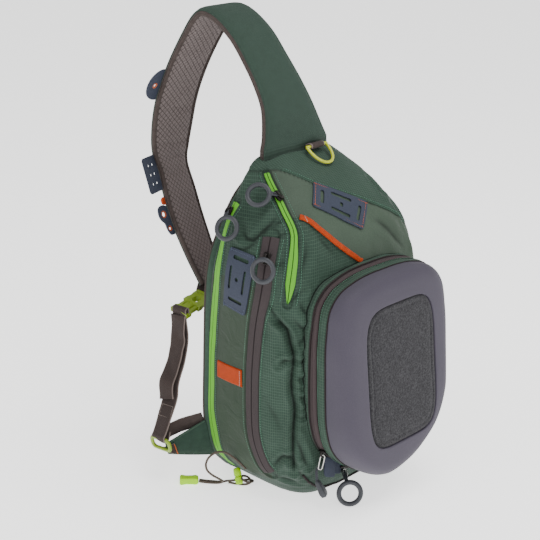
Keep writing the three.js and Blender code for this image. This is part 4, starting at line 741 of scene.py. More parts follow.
def tape_finish(name, code, painted_slit_shade_code, roughness, pitch, slit=0.7):
    """Woven tape, smooth where it is coated, with painted shade darkening the slit over the coil."""
    made, tree, shader = start_finish(name, code, roughness, Sheen_Weight=0.025)
    spot = add(tree, "UVMap", uv_map="weave").outputs[0]
    # Painted shade: the tape's colour goes over to the darker slit colour down in the slit
    bounds = {"From Min": slit * 0.5, "From Max": slit, "To Min": 1.0, "To Max": 0.0}
    open_slit = add(tree, "MapRange", {"Value": off_middle(tree, spot), **bounds}).outputs[0]
    tint = mixed(tree, open_slit, linear(code), linear(painted_slit_shade_code))
    colour = dyed(tree, tint, noise_of(tree, spot, 0.9, 3.0), (0.1, 0.08))
    complete(tree, shader, colour, (bands_of(tree, spot, pitch, 0.3, "Y"), 0.3, 0.0003))
    return made


# Coated lime tape, smooth with a soft sheen
lime_tape = tape_finish("coated_lime_zipper_tape", "#5fa82f", "#22401a", 0.55, 1.4)
# Plain woven brown tape, matt and ribbed
brown_tape = tape_finish("woven_brown_zipper_tape", "#3e3738", "#241e1f", 0.75, 1.2, 1.1)
for side, name, node in ((-1, "lime_tape_left", "main_zip_left"), (1, "lime_tape_right", "main_zip_right")):
    strip = band_on_cloth(name, main_zip_rows(side), 16.5, TAPE_PROFILE, 190)
    put_on(name, thickened(strip, 0.9), lime_tape, "lime_tape", node)
strip = band_on_cloth("side", SIDE_ZIP, 22, TAPE_PROFILE, 190, 22)
put_on("side_zip_tape", thickened(strip, 0.9), brown_tape, "zipper_tape", "side_zip")
front_taper = ((0, 0.7), (0.4, 0.85), (0.6, 1.25), (0.78, 1.15), (0.95, 0.45), (1, 0.08))
strip = band_on_cloth("front", FRONT_ZIP, 11, TAPE_PROFILE, 110, taper=front_taper)
put_on("front_zip_tape", thickened(strip, 0.9), lime_tape, "lime_tape", "front_zip")


def beside(rows, off, lift):
    """Points and ways out on the cloth, off to one side of a path."""
    turn, deep = through(rows, 160).T
    per_turn, per_deep = sideways_steps(turn, deep)
    t, d = turn + per_turn * off, np.clip(deep + per_deep * off, 0.001, 0.999)
    return cloth(t, d, lift), body_normal(t, d)


# Spun thread with a slight lustre
thread_green = grained_finish("green_polyester_thread", "#5b8a72", 0.6)
SEAMS = (
    ("side_zip", SIDE_ZIP, 14.2),
    ("side_zip_rear", SIDE_ZIP, -14.2),
    ("front_zip", FRONT_ZIP, 9.6),
    ("front_zip_rear", FRONT_ZIP, -9.6),
    ("main_zip_left", main_zip_rows(-1), 11.4),
    ("main_zip_right", main_zip_rows(1), -11.4),
)


# Elastic ribbon over the front panel and the bar-tacked tab on the side: orange woven
# elastic and orange coated cloth, with a few white stitches where each is tacked down.
def plain_weave(name, code, dark, pitch, uneven=0.13):
    """Yarns over and under at a right angle, dyed a little unevenly; drawn coarser than real."""
    made, tree, shader = start_finish(name, code, 0.75, Sheen_Weight=0.05)
    spot = add(tree, "UVMap", uv_map="weave").outputs[0]
    over, under = (bands_of(tree, spot, pitch, 0.3, way) for way in "XY")
    weave = add(tree, "Math", {0: over, 1: under}, operation="MULTIPLY").outputs[0]
    tint = mixed(tree, weave, linear(dark), linear(code))
    colour = dyed(tree, tint, noise_of(tree, spot, 0.12, 4.0), (uneven, uneven))
    complete(tree, shader, colour, (weave, 0.4, 0.0004))
    return made


# Bright orange yarns with darker gaps between them
orange_weave = plain_weave("orange_woven_elastic", "#cf4a16", "#93340e", 1.1)
# Spun threads for the other seams, each standing out from its cloth
thread_grey = grained_finish("pale_polyester_thread", "#b9b7b0", 0.6)
thread_orange = grained_finish("orange_polyester_thread", "#c4643a", 0.6)
thread_taupe = grained_finish("taupe_polyester_thread", "#8f837c", 0.6)
thread_slate = grained_finish("slate_polyester_thread", "#566073", 0.6)

x_line = np.array((-72, -64, -56, -48, -38, -25, -10, -3))
elastic_rows = np.stack(front_spot(x_line, elastic_line(x_line)), 1)
RIBBON_PROFILE = [(0, -0.6), (0.06, 0.5), (0.5, 0.9), (0.94, 0.5), (1, -0.6)]
ribbon = band_on_cloth("ribbon", elastic_rows, 8, RIBBON_PROFILE, 90, 10, 2.6)
put_on("orange_elastic", thickened(ribbon, 2.0), orange_weave, "orange_trim", "elastic_ribbon")
tab_rows = [(-80.5, d) for d in np.linspace(0.135, 0.445, 8)]
tab = band_on_cloth("tab", tab_rows, 24, [(0, -0.2), (0.04, 1.0), (0.96, 1.0), (1, -0.2)], 30, 16, 0.6)
put_on("orange_side_tab", thickened(tab, 1.2), orange_weave, "orange_trim", "side_tab")


def stitches(name, line, out, pitch, finish, slot, length=0.62, radius=0.42):
    """A row of stitches along a line: short threads, each a few faces."""
    line, out = np.asarray(line, float), np.asarray(out, float)
    reached = walked(line)
    between = lambda rows, at: np.array([np.interp(at, reached, rows[:, k]) for k in range(3)])
    made = bmesh.new()
    for at in np.arange(pitch / 2, reached[-1] - pitch / 3, pitch):
        start, end = between(line, at - pitch * length / 2), between(line, at + pitch * length / 2)
        way, n = end - start, between(out, at)
        side, up = unit(np.cross(way, n)) * radius, unit(n) * radius
        rings = []
        for share, size in ((0, 0.35), (0.25, 1), (0.75, 1), (1, 0.35)):
            c = start + way * share + up * (0.3 if size == 1 else -0.4)
            rings.append([made.verts.new(c + q * size) for q in (side, up, -side, -up)])
        tube_faces(made, rings)
    bmesh.ops.recalc_face_normals(made, faces=made.faces)
    put_on(name, mesh_of(made, name), finish, slot)


def stitch_on_cloth(name, rows, pitch, lift):
    turn, deep = through(rows, 120).T
    stitches(name, cloth(turn, deep, lift), body_normal(turn, deep), pitch, thread_grey, "orange_trim")


for name, rows, off in SEAMS:
    line, out = beside(rows, off, 1.3)
    stitches(name + "_topstitch", line, out, 3.2, thread_green, "cloth", radius=0.33)
stitch_on_cloth("side_tab_stitch", [(-76.0, 0.425), (-80.5, 0.425), (-85.1, 0.425)], 2.4, 2.3)
tack_ends = front_spot(np.array((-68.0, -66.2)), np.array((366.8, 373.6)))
stitch_on_cloth("elastic_stitch", np.stack(tack_ends, 1), 1.6, 3.6)
seam_x = np.linspace(-62, 112, 160)
turn, deep = front_spot(seam_x, yoke_seam(seam_x) + 2.8)
stitches(
    "yoke_topstitch", cloth(turn, deep, 1.5), body_normal(turn, deep), 3.0, thread_green, "cloth", radius=0.36
)
turn, deep = front_spot(seam_x, yoke_seam(seam_x) + 0.3)
# Cloth rolled over a cord, matt
green_piping = grained_finish("green_cloth_piping", "#3b5144", 0.7)
put_on("yoke_piping", rope_mesh("yoke_piping", cloth(turn, deep, 0.9), 0.65, 8), green_piping, "cloth")


# Slotted patches at the side and the front: one thick layer of slate coated cloth with
# die-cut slots, sewn round its edge.
def place_plate(name, loops, place, thick, cell=5.0, rim=0.35):
    """A plate cut to its loops (the first is its outline), bent over a surface. place takes
    arrays of x, y and gives points and the way out."""
    made = bmesh.new()
    edges = []
    for loop in loops:
        verts = [made.verts.new((*spot, 0)) for spot in loop]
        edges += [made.edges.new((verts[i], verts[(i + 1) % len(verts)])) for i in range(len(verts))]
    bmesh.ops.triangle_fill(made, use_beauty=True, use_dissolve=False, edges=edges)
    flat = np.array([v.co[:2] for v in made.verts])
    for axis in (0, 1):
        way = Vector((1, 0, 0)) if axis == 0 else Vector((0, 1, 0))
        for at in np.arange(flat[:, axis].min() + cell / 2, flat[:, axis].max(), cell):
            geom = made.verts[:] + made.edges[:] + made.faces[:]
            bmesh.ops.bisect_plane(made, geom=geom, plane_co=way * float(at), plane_no=way)
    flat = np.array([v.co[:2] for v in made.verts])
    points, out = place(flat[:, 0], flat[:, 1])
    layer = made.loops.layers.uv.new("weave")
    for face in made.faces:
        for corner in face.loops:
            corner[layer].uv = corner.vert.co[:2]
    for vert, spot in zip(made.verts, points):
        vert.co = spot
    made.normal_update()
    made.verts.index_update()
    middle = next(iter(made.faces))
    if middle.normal.dot(Vector(out[middle.verts[0].index])) < 0:
        bmesh.ops.reverse_faces(made, faces=made.faces)
    bmesh.ops.solidify(made, geom=made.faces, thickness=thick)
    bmesh.ops.recalc_face_normals(made, faces=made.faces)
    sharp = [e for e in made.edges if e.calc_face_angle(0) > 1.0]
    soften(made, sharp, rim, 2)
    return mesh_of(made, name)


def rounded_loop(x0, x1, y0, y1, radius, steps=5):
    right, left, far, near = x1 - radius, x0 + radius, y1 - radius, y0 + radius
    loop = []
    for cx, cy, start in ((right, far, 0), (left, far, 90), (left, near, 180), (right, near, 270)):
        for angle in np.radians(np.linspace(start, start + 90, steps + 1)):
            loop.append((cx + radius * math.cos(angle), cy + radius * math.sin(angle)))
    return loop


def patch_surface(corners, wide, tall, to_body, lift):
    def place(x, y):
        u, v = (x / wide)[:, None], (y / tall)[:, None]
        a, b, c, d = (np.array(k, float) for k in corners)
        flat = (1 - v) * ((1 - u) * a + u * b) + v * ((1 - u) * d + u * c)
        turn, deep = to_body(flat[:, 0], flat[:, 1])
        return cloth(turn, deep, lift), body_normal(turn, deep)

    return place


# Slate cloth with a coated face: fine grain like leather's, hardly any shine
slate_cloth, tree, shader = start_finish("slate_coated_cloth", "#383d4a", 0.62)
grain = noise_of(tree, add(tree, "TexCoord").outputs["Object"], 700.0, 2.0)
complete(tree, shader, dyed(tree, linear("#383d4a"), grain, (0.12, 0.1)), (grain, 0.35, 0.0003))
SIDE_SIZE, FRONT_SIZE = (42, 80), (72, 37)
side_corners = [(-138, 0.31), (-138, 0.61), (-115, 0.48), (-117, 0.23)]
front_corners = [(-0.154, 0.929), (0.324, 0.8525), (0.103, 0.793), (-0.338, 0.88)]
# Each slot's left, right, top and low, as shares of the patch
side_cuts = [(0.2, 0.8, 0.09, 0.15), (0.15, 0.24, 0.26, 0.64), (0.7, 0.79, 0.26, 0.64)]
side_cuts += [(0.4, 0.53, 0.41, 0.475), (0.2, 0.8, 0.78, 0.84)]
front_cuts = [(0.12, 0.185, 0.22, 0.74), (0.3, 0.68, 0.14, 0.26), (0.32, 0.7, 0.7, 0.82)]
front_cuts += [(0.82, 0.885, 0.25, 0.78), (0.475, 0.535, 0.4, 0.56)]
side_place = patch_surface(side_corners, *SIDE_SIZE, lambda a, b: (a, b), 2.4)
on_front = lambda a, b: front_spot(a * HALF_WIDTH, b * HEIGHT)
front_place = patch_surface(front_corners, *FRONT_SIZE, on_front, 2.4)
for name, node, (wide, tall), cuts, place, thread in (
    ("slotted_side_patch", "side_patch", SIDE_SIZE, side_cuts, side_place, thread_slate),
    ("slotted_front_patch", "front_patch", FRONT_SIZE, front_cuts, front_place, thread_orange),
):
    loops = [rounded_loop(0, wide, 0, tall, 3.5)]
    for left, right, top, low in cuts:
        x0, x1, y0, y1 = left * wide, right * wide, top * tall, low * tall
        loops.append(rounded_loop(x0, x1, y0, y1, min(x1 - x0, y1 - y0) * 0.45))
    put_on(name, place_plate(name, loops, place, 1.8), slate_cloth, "coated_cloth", node)
    inset = np.array(rounded_loop(2.6, wide - 2.6, 2.6, tall - 2.6, 2.0) + [(wide - 2.6, tall - 4.6)])
    line, out = place(inset[:, 0], inset[:, 1])
    fine = through(np.hstack([line, out]), 200)
    line, out = fine[:, :3] + fine[:, 3:] * 0.25, fine[:, 3:]
    stitches(name + "_stitch", line, out, 2.6, thread, "coated_cloth", radius=0.36)


# Pocket on the front: a ripstop wall with dark piping, a brown zipper and a ripstop band,
# each a ring round the same rounded outline.
POCKET_UP = 180.5
# Half of the pocket's outline from its lowest point to its top: out and up as shares
POCKET_OUTLINE = [(0, 0), (0.31, 0.012), (0.63, 0.085), (0.86, 0.19), (0.955, 0.3), (0.99, 0.445), (1, 0.59)]
POCKET_OUTLINE += [(0.99, 0.775), (0.92, 0.9), (0.79, 0.95), (0.53, 0.985), (0.17, 1), (0, 1)]
pocket_x, pocket_z = np.array(POCKET_OUTLINE, float).T * ((104,), (271,)) - ((0,), (143.5,))
pocket_reach = eased(np.degrees(np.arctan2(pocket_x, -pocket_z)), np.hypot(pocket_x, pocket_z))
LABEL_WIDE, LABEL_TALL = 65.5, 92


def label_reach(turn):
    angle = np.radians(turn)
    return ((np.abs(np.sin(angle)) / LABEL_WIDE) ** 5 + (np.abs(np.cos(angle)) / LABEL_TALL) ** 5) ** -0.2


def pocket(turn, y, inset=0.0, inward=0.0):
    # The lower right corner is a little rounder than the left
    rounder = 15 * np.sin(np.pi * np.clip((np.asarray(turn, float) + 10) / 74, 0, 1)) ** 1.6
    reach = (pocket_reach(np.abs(turn)) - rounder) * (1 - inward) + label_reach(turn) * inward - inset
    angle = np.radians(turn)
    x = reach * np.sin(angle)
    return np.stack([x, y + 0 * x, POCKET_UP - reach * np.cos(angle)], -1)


pocket_fine = np.linspace(-180, 180, 1441)
pocket_edge = pocket(pocket_fine, 0)
pocket_walked = walked(pocket_edge)


def pocket_ring(name, rows, around=260):
    """A closed ring round the pocket. Each row gives its points for an array of turns."""
    mesh, u, v = mesh_grid(name, len(rows), around)
    along = np.linspace(0, 1, around + 1) * pocket_walked[-1]
    turns = np.interp(along, pocket_walked, pocket_fine)
    turns[-1] = turns[0]
    lines = np.array([row(turns) for row in [*rows, rows[0]]])
    col, row = steps(u, len(rows)), steps(v, around)
    over = walked(lines[:, 0])
    shape_grid(mesh, lines[col, row], np.stack([over[col], along[row]], 1))
    return close_up(mesh)


def ring_row(y, inset, wrinkle=0.0):
    def row(turns):
        p = pocket(turns, y, inset)
        if wrinkle:
            ease = np.array([noise.noise(Vector((q[0] / 22, y / 14, q[2] / 22))) for q in p])
            way = p - np.array((0, y, POCKET_UP))
            p = p + unit(way) * (ease * wrinkle)[:, None]
            p[-1] = p[0]
        return p

    return row


def front_row(inset):
    def row(turns):
        p = pocket(turns, 0, inset)
        turn, deep = front_spot(p[:, 0], p[:, 2])
        p[:, 1] = cloth(turn, deep, -0.6)[:, 1]
        return p

    return row


def tape_cover(turns):
    """How far the wall's cloth comes forward over the tape, at the upper left and the top."""
    return 6.0 * np.exp(-(((turns + 142) / 34) ** 2)) + 6.0 * np.exp(-(((turns - 218) / 34) ** 2))


def wall_row(share, inset, wrinkle):
    def row(turns):
        p = front_row(0)(turns)
        over = tape_cover(turns)
        y = p[:, 1] * (1 - share) - (83.4 + over) * share
        q = pocket(turns, 0, inset - 0.42 * over * share)
        ease = np.array([noise.noise(Vector((k[0] / 20, share * 2.2, k[2] / 20))) for k in q])
        way = q - np.array((0, 0, POCKET_UP))
        q = q + unit(way) * (ease * wrinkle)[:, None]
        q[:, 1] = y
        q[-1] = q[0]
        return q

    return row


arched = lambda share: math.sin(math.pi * share)
wall_rows = [wall_row(s, -0.4 - 2.2 * arched(s), 1.8 * arched(s)) for s in np.linspace(0, 1, 9)]
wall = pocket_ring("pocket_wall", [*wall_rows, ring_row(-83.0, 3), front_row(3)])
# The same ripstop as the body, with no coated panel
pocket_cloth = pack_cloth("green_ripstop_of_the_pocket", "#2d3f35", "#43574a")
put_on("ripstop_pocket_wall", wall, pocket_cloth, "cloth", "pocket_wall")
# The pocket's zipper from the wall to the band: place ahead and inset, with its slit
TAPE_ROWS = [(-84.0, 1.0), (-84.2, -0.6), (-87.6, -1.1), (-89.0, -1.9), (-90.0, -2.0), (-90.1, -0.6)]
TAPE_ROWS += [(-90.5, -0.6), (-90.6, -2.0), (-91.4, -1.9), (-92.8, -1.1), (-96.4, -0.6), (-96.6, 1.0)]
TAPE_ROWS += [(-96.6, 2.4), (-84.0, 2.4)]
zip_rows = [ring_row(y, inset) for y, inset in TAPE_ROWS]
# Woven tape with plain ribs, drawn at 1.2 mm
pocket_tape, tree, shader = start_finish("woven_brown_pocket_tape", "#453c3d", 0.75, Sheen_Weight=0.025)
ribs = bands_of(tree, add(tree, "UVMap", uv_map="weave").outputs[0], 1.2, 0.3, "Y")
complete(tree, shader, mixed(tree, ribs, linear("#382f30"), linear("#4b4142")), (ribs, 0.3, 0.0003))
put_on("pocket_zip_tape", pocket_ring("pocket_zip", zip_rows), pocket_tape, "zipper_tape", "pocket_zip")
band_rows = [ring_row(-97.3, 1.5)]
band_rows += [ring_row(-97.4 - 12.4 * s, -0.5 - arched(s), 1.0) for s in np.linspace(0, 1, 6)]
band_rows += [ring_row(-109.9, 1.5), ring_row(-109.9, 3), ring_row(-97.3, 3)]
put_on("ripstop_pocket_band", pocket_ring("pocket_band", band_rows), pocket_cloth, "cloth", "pocket_band")
# Narrow woven binding, nearly black brown
dark_piping = plain_weave("dark_brown_binding", "#352c2c", "#221c1c", 0.9)


def pocket_loop(y, inset, count=300):
    turns = np.interp(np.linspace(0, 1, count, endpoint=False) * pocket_walked[-1], pocket_walked, pocket_fine)
    return pocket(turns, y, inset)


# Each piping's place ahead, inset and radius
PIPINGS = [("wall_piping", -83.4, -0.9, 1.3), ("band_piping", -97.0, -0.8, 0.8)]
PIPINGS += [("lid_piping", -110.4, -0.3, 1.0)]
for name, y, inset, radius in PIPINGS:
    line = pocket_loop(y, inset)
    if name == "wall_piping":
        over = tape_cover(np.degrees(np.arctan2(line[:, 0], POCKET_UP - line[:, 2])))
        away = line - np.array((0, y, POCKET_UP))
        line = line + unit(away) * (0.42 * over)[:, None] - np.outer(over, (0, 1, 0))
    put_on(name, rope_mesh(name, line, radius, 8, closed=True, up=(0, 1, 0)), dark_piping, "zipper_tape")
# Painted shadow: a near-black strip where the wall is sewn to the front, standing for the shade of its own edge
shadow_strip_turns = np.linspace(-180, 180, 300, endpoint=False)
shadow_strip_line = front_row(-0.9)(np.append(shadow_strip_turns, -180.0))[:-1] + np.array((0, -0.5, 0))
painted_shadow_finish = grained_finish("painted_shadow_under_pocket_wall", "#161e19", 0.8)
seam = rope_mesh("pocket_wall_shadow_strip", shadow_strip_line, 1.2, 8, closed=True, up=(0, 1, 0))
put_on("pocket_wall_shadow_strip", seam, painted_shadow_finish, "cloth")
loop = pocket_loop(-98.9, -1.5, 500)
way = loop - np.array((0, -98.9, POCKET_UP))
loop, way = (np.vstack([rows, rows[:1]]) for rows in (loop, way))
stitches("pocket_band_stitch", loop, way, 3.0, thread_green, "cloth", radius=0.34)

# A binding where the front turns under, and two slate tabs at the end of the pocket's zipper
base_turn = np.linspace(-34, 34, 120)
base_line = cloth(base_turn, np.full(120, 0.9), 0.6)
put_on("base_binding", rope_mesh("base_binding", base_line, 1.6, 8, up=(0, 1, 0)), dark_piping, "zipper_tape")
END_TABS = (("zipper_end_tab_left", -31.5, 23, 25), ("zipper_end_tab_right", -24, 15, 15))
for name, at_turn, wide, drop in END_TABS:
    reach = float(pocket_reach(abs(at_turn))) + 0.5
    angle = math.radians(at_turn)
    root = np.array((reach * math.sin(angle), -91.0, POCKET_UP - reach * math.cos(angle)))
    hang = np.array((-0.25, -0.2, -0.95))
    half, thick = np.array((0.9, 0, -0.35)) * wide / 2, np.array((0.1, 0.98, 0.1)) * 1.6
    widths = ((-1, 0.9), (3, 1), (drop - 3, 0.95), (drop, 0.7))
    rows = [(root + hang * down, half * share, thick) for down, share in widths]
    put_on(name, rounded_block(name, rows, 0.7, 2), slate_cloth, "coated_cloth")


# Moulded lid: foam under smooth cloth, pressed to a rounded box that leans back at its
# top, with a shallow seat where a felt patch is bonded in.
lid_ahead = lambda z: 148 + 0.1 * (POCKET_UP - z)
# From its rim to the seat: share of the way in, and of the way ahead
LID_PROFILE = [(0, 0), (0.01, 0.36), (0.07, 0.62), (0.2, 0.82), (0.42, 0.94), (0.78, 0.99), (0.985, 1)]
LID_BACK, STRETCH = 110.3, np.array((1.6, 1.0))


def lid_row(inward, ahead, inset=0.0):
    def row(turns):
        p = pocket(turns, 0, inset, inward)
        front = lid_ahead(p[:, 2]) - inset
        p[:, 1] = -(LID_BACK + (front - LID_BACK) * ahead)
        p[-1] = p[0]
        return p

    return row


profile = through(np.array(LID_PROFILE) * STRETCH, 30) / STRETCH
lid_rows = [lid_row(0.0, 0.0, 3.0), lid_row(0.0, 0.0, 0.8), lid_row(0.0, 0.015, 0.0)]
lid_rows += [lid_row(a, b) for a, b in profile[1:-1]]
# A pressed line runs round the front, just outside the seat
SEAT = ((0.965, 1.0), (0.985, 0.995), (0.994, 0.97), (1.0, 0.93), (1.0, 0.9), (1.0, 0.9, 8.0), (1.0, 0.86, 8.0))
lid_rows += [lid_row(*row) for row in SEAT]
lid_rows += [lid_row(a, b, 3.0) for a, b in profile[::-4]]
lid_mesh = pocket_ring("lid", lid_rows, 280)
# Smooth cloth moulded over foam: matt, with the faint mottle that heat leaves
moulded_cloth, tree, shader = start_finish(
    "mauve_grey_moulded_cloth", "#474450", 0.6, Sheen_Weight=0.037, Sheen_Roughness=0.5
)
place = add(tree, "TexCoord").outputs["Object"]
fine = noise_of(tree, place, 1100.0, 1.0)
tint = mixed(tree, noise_of(tree, place, 9.0, 2.0), linear("#423f49"), linear("#4d4853"))
complete(tree, shader, dyed(tree, tint, fine, (0.08, 0.07)), (fine, 0.25, 0.0003))
put_on("moulded_pocket_lid", lid_mesh, moulded_cloth, "moulded_lid", "lid")

# Felt of two greys: tufted, with no shine at all
felt, tree, shader = start_finish(
    "charcoal_heather_felt", "#434345", 0.95, Sheen_Weight=0.087, Sheen_Roughness=0.6
)
place = add(tree, "TexCoord").outputs["Object"]
fibre = noise_of(tree, place, 420.0, 5.0, Roughness=0.75)
blend = add(tree, "MapRange", {"Value": fibre, "From Min": 0.36, "From Max": 0.64}).outputs[0]
tint = mixed(tree, blend, linear("#19191c"), linear("#3d3c3f"))
colour = dyed(tree, tint, noise_of(tree, place, 90.0, 3.0), (0.12, 0.1))
complete(tree, shader, colour, (fibre, 0.6, 0.0006))
mesh, u, v = mesh_grid("label", 60, 220)
turns = v * 360 - 180
full = label_reach(turns) - 0.7
reach, from_edge = full * (1 - u), full * u
border = 0.85 * np.exp(-(((from_edge - 8.5) / 1.1) ** 2))
crown = 0.5 * np.clip((from_edge - 9) / 12, 0, 1)
rise = 2.4 * (1 - np.clip(1 - from_edge / 3.2, 0, 1) ** 2) - border + crown
angle = np.radians(turns)
z = POCKET_UP - reach * np.cos(angle)
points = np.stack([reach * np.sin(angle), 2.6 - lid_ahead(z) - rise, z], 1)
shape_grid(mesh, points, np.stack([points[:, 0], points[:, 2]], 1))
put_on("heather_felt_panel", close_up(mesh), felt, "felt", "label")


# Shoulder strap: a padded green outer and a padded mesh lining, bound together along both
# edges, from a broad foot on the yoke over to the buckle at the wearer's side.
# The route of the edge with the tabs in shares of a reach aside, back and up, then width and turn
STRAP_ROUTE = [(0.61, 0.2, 0.035, 1.7, 0), (0.55, 0.21, 0.13, 1.5, 0), (0.52, 0.23, 0.31, 1.24, 0)]
STRAP_ROUTE += [(0.56, 0.27, 0.47, 1.12, 0), (0.61, 0.33, 0.62, 1.05, 0), (0.67, 0.42, 0.79, 1.02, 0)]
STRAP_ROUTE += [(0.73, 0.53, 0.91, 1.0, 0), (0.77, 0.63, 0.95, 1.0, 0), (0.8, 0.7, 0.9, 1.0, 0)]
STRAP_ROUTE += [(0.81, 0.79, 0.76, 1.0, 0), (0.87, 0.87, 0.58, 1.0, 0), (0.93, 0.93, 0.4, 1.0, 0)]
STRAP_ROUTE += [(0.97, 0.97, 0.24, 1.0, 0), (1.0, 0.99, 0.06, 1.0, 2), (0.98, 1.0, -0.12, 0.98, 8)]
STRAP_ROUTE += [(0.9, 0.99, -0.27, 0.92, 16), (0.88, 0.95, -0.46, 0.92, 13), (0.84, 0.9, -0.66, 0.88, 11)]
STRAP_ROUTE += [(0.81, 0.79, -0.89, 0.78, 11), (0.76, 0.69, -1.09, 0.6, 11)]
STRAP_ROUTE = np.array(STRAP_ROUTE)


def strap_values(shares):
    at = np.clip(np.asarray(shares, float), 0, 1) * (len(STRAP_ROUTE) - 1)
    i = np.minimum(at.astype(int), len(STRAP_ROUTE) - 2)
    return blended(past_ends(STRAP_ROUTE), i + 1, (at - i)[:, None])


def strap_at(shares):
    shares = np.asarray(shares, float)
    left = lambda k: np.stack([-94 * k[:, 0], 218 * k[:, 1], HEIGHT + 182 * k[:, 2]], 1)
    now = strap_values(shares)
    along = unit(left(strap_values(shares + 0.01)) - left(strap_values(shares - 0.01)))
    angle = np.radians(now[:, 4])
    across = np.stack([np.cos(angle), np.sin(angle), 0 * angle], 1)
    return left(now), across, along, unit(np.cross(across, along)), 68 * now[:, 3]


def yoke_top(x, y):
    low, high = np.full(x.shape, 190.0), np.full(x.shape, 477.0)
    for _ in range(26):
        z = (low + high) / 2
        deep = (SEAM_BACK - y) / (SEAM_BACK + FRONT * front_at(z / HEIGHT))
        turn = np.degrees(np.arctan2(x, AXIS_UP - z))
        inside = (np.hypot(x, AXIS_UP - z) / body_reach(turn, np.maximum(deep, 0))) ** 6 + np.abs(deep) ** 6 < 1
        low, high = np.where(inside, z, low), np.where(inside, high, z)
    return high


def strap_layer(name, section, stations=260, ease=None):
    """section is a closed list of share of the width, rise and margin."""
    section = [*section, section[0]]
    over, rise, margin = (np.array(k, float) for k in zip(*section))
    mesh, u, v = mesh_grid(name, len(section) - 1, stations)
    col, row = steps(u, len(section) - 1), steps(v, stations)
    shares = np.linspace(0, 1, stations + 1)
    edge, across, along, outward, wide = strap_at(shares)
    lift = rise[col] if ease is None else rise[col] + ease(shares[row], over[col], rise[col])
    side = over[col] * wide[row] + margin[col]
    points = edge[row] + across[row] * side[:, None] + outward[row] * lift[:, None]
    # The foot comes down on the yoke
    foot = shares[row] < 0.035
    near = np.clip(shares[row] / 0.035, 0, 1)
    low = yoke_top(points[:, 0], points[:, 1]) + 0.3 + 2.4 * near
    points[:, 2] = np.where(foot & (row == 0), low, points[:, 2])
    shape_grid(mesh, points, np.stack([side + 3 * (lift < 0), walked(edge)[row]], 1))
    return close_up(mesh, fill=True)


def face_rows(rise):
    """Half of a section, from edge to edge: share of the width, rise and margin."""
    rows = []
    for over in np.linspace(0, 1, 15).tolist():
        edge_fall = 1 - 0.5 * (abs(2 * over - 1) ** 8)
        height = rise * (1 + 0.1 * math.sin(math.pi * over)) * edge_fall
        rows.append((over, height, 2.0 * ((over == 0) - (over == 1))))
    return rows


def bulge_at(share, at, wide, size):
    return size * np.exp(-(((share - at) / wide) ** 2))


def cover_ease(share, over, rise):
    soft = np.array([noise.noise(Vector((s * 26, o * 1.6, 3.0))) for s, o in zip(share, over)])
    kink = bulge_at(share, 0.79, 0.012, 1.6) + bulge_at(share, 0.735, 0.01, 1.0)
    return np.where(rise > 1, soft * 1.1 - kink, 0) * np.sin(np.pi * np.clip(over, 0.05, 0.95))


# Folds of the lining where the strap bends: share along, width and height
LINING_FOLDS = [(0.722, 0.006, 2.2), (0.742, 0.005, -1.4), (0.76, 0.006, 1.8)]
LINING_FOLDS += [(0.8, 0.007, 1.6), (0.64, 0.01, 0.8), (0.86, 0.01, 1.2)]


def lining_ease(share, over, rise):
    soft = np.array([noise.noise(Vector((s * 30, o * 1.8, 9.0))) for s, o in zip(share, over)])
    folds = sum(bulge_at(share - 0.012 * (over - 0.5), *fold) for fold in LINING_FOLDS)
    return np.where(rise < -2, soft * 1.4 + folds, 0) * np.sin(np.pi * np.clip(over, 0.04, 0.96))


# Dense nylon weave, even in tone
strap_green = plain_weave("green_woven_nylon_strap_cover", "#3a4b41", "#2c3b33", 1.5, uneven=0.05)
cover_rows = [(0.0, 2.6, 0.4), *face_rows(5), (1.0, 2.6, -0.4)]
cover_rows += [(over, 0.3, 0) for over in np.linspace(1, 0, 5)]
cover_mesh = strap_layer("strap_cover", cover_rows, ease=cover_ease)
cover = put_on("padded_strap_outer", cover_mesh, strap_green, "cloth", "strap_cover")
# Spacer mesh with open pores and quilted diamonds: soft, with painted shade darkening each pore and each
# quilted channel
air_mesh, tree, shader = start_finish("taupe_air_mesh", "#857a74", 0.85, Sheen_Weight=0.05)
spot = add(tree, "UVMap", uv_map="weave").outputs[0]
quilting = {"Scale": 1.0, "Mortar Size": 0.75, "Mortar Smooth": 1.0, "Brick Width": 5.6, "Row Height": 5.6}
quilting["Vector"] = add(tree, "Mapping", {"Vector": spot, "Rotation": (0, 0, math.radians(45))}).outputs[0]
quilt = add(tree, "TexBrick", quilting, offset=0.0).outputs["Fac"]
pattern = {"Vector": spot, "Scale": 0.85, "Randomness": 0.25}
holes = add(tree, "TexVoronoi", pattern, feature="F1", distance="EUCLIDEAN").outputs["Distance"]
pore = add(tree, "MapRange", {"Value": holes, "From Min": 0.1, "From Max": 0.42}).outputs[0]
colour = mixed(tree, quilt, mixed(tree, pore, linear("#3f3838"), linear("#746a68")), linear("#453c3b"))
tree.links.new(colour, shader.inputs["Base Color"])
dip = add(tree, "Bump", {"Height": quilt, "Strength": 0.7, "Distance": 0.0009}, invert=True).outputs[0]
relief = add(tree, "Bump", {"Height": pore, "Strength": 0.4, "Distance": 0.0005, "Normal": dip}).outputs[0]
tree.links.new(relief, shader.inputs["Normal"])
lining_rows = [(0.0, -0.2, 0.0), (0.0, -3.9, 0.4), *face_rows(-6.5), (1.0, -3.9, -0.4), (1.0, -0.2, 0.0)]
lining_rows += [(over, 0.0, 0) for over in np.linspace(0.9, 0.1, 5)]
lining_mesh = strap_layer("strap_lining", lining_rows, ease=lining_ease)
lining = put_on("padded_strap_lining", lining_mesh, air_mesh, "strap_mesh", "strap_lining")
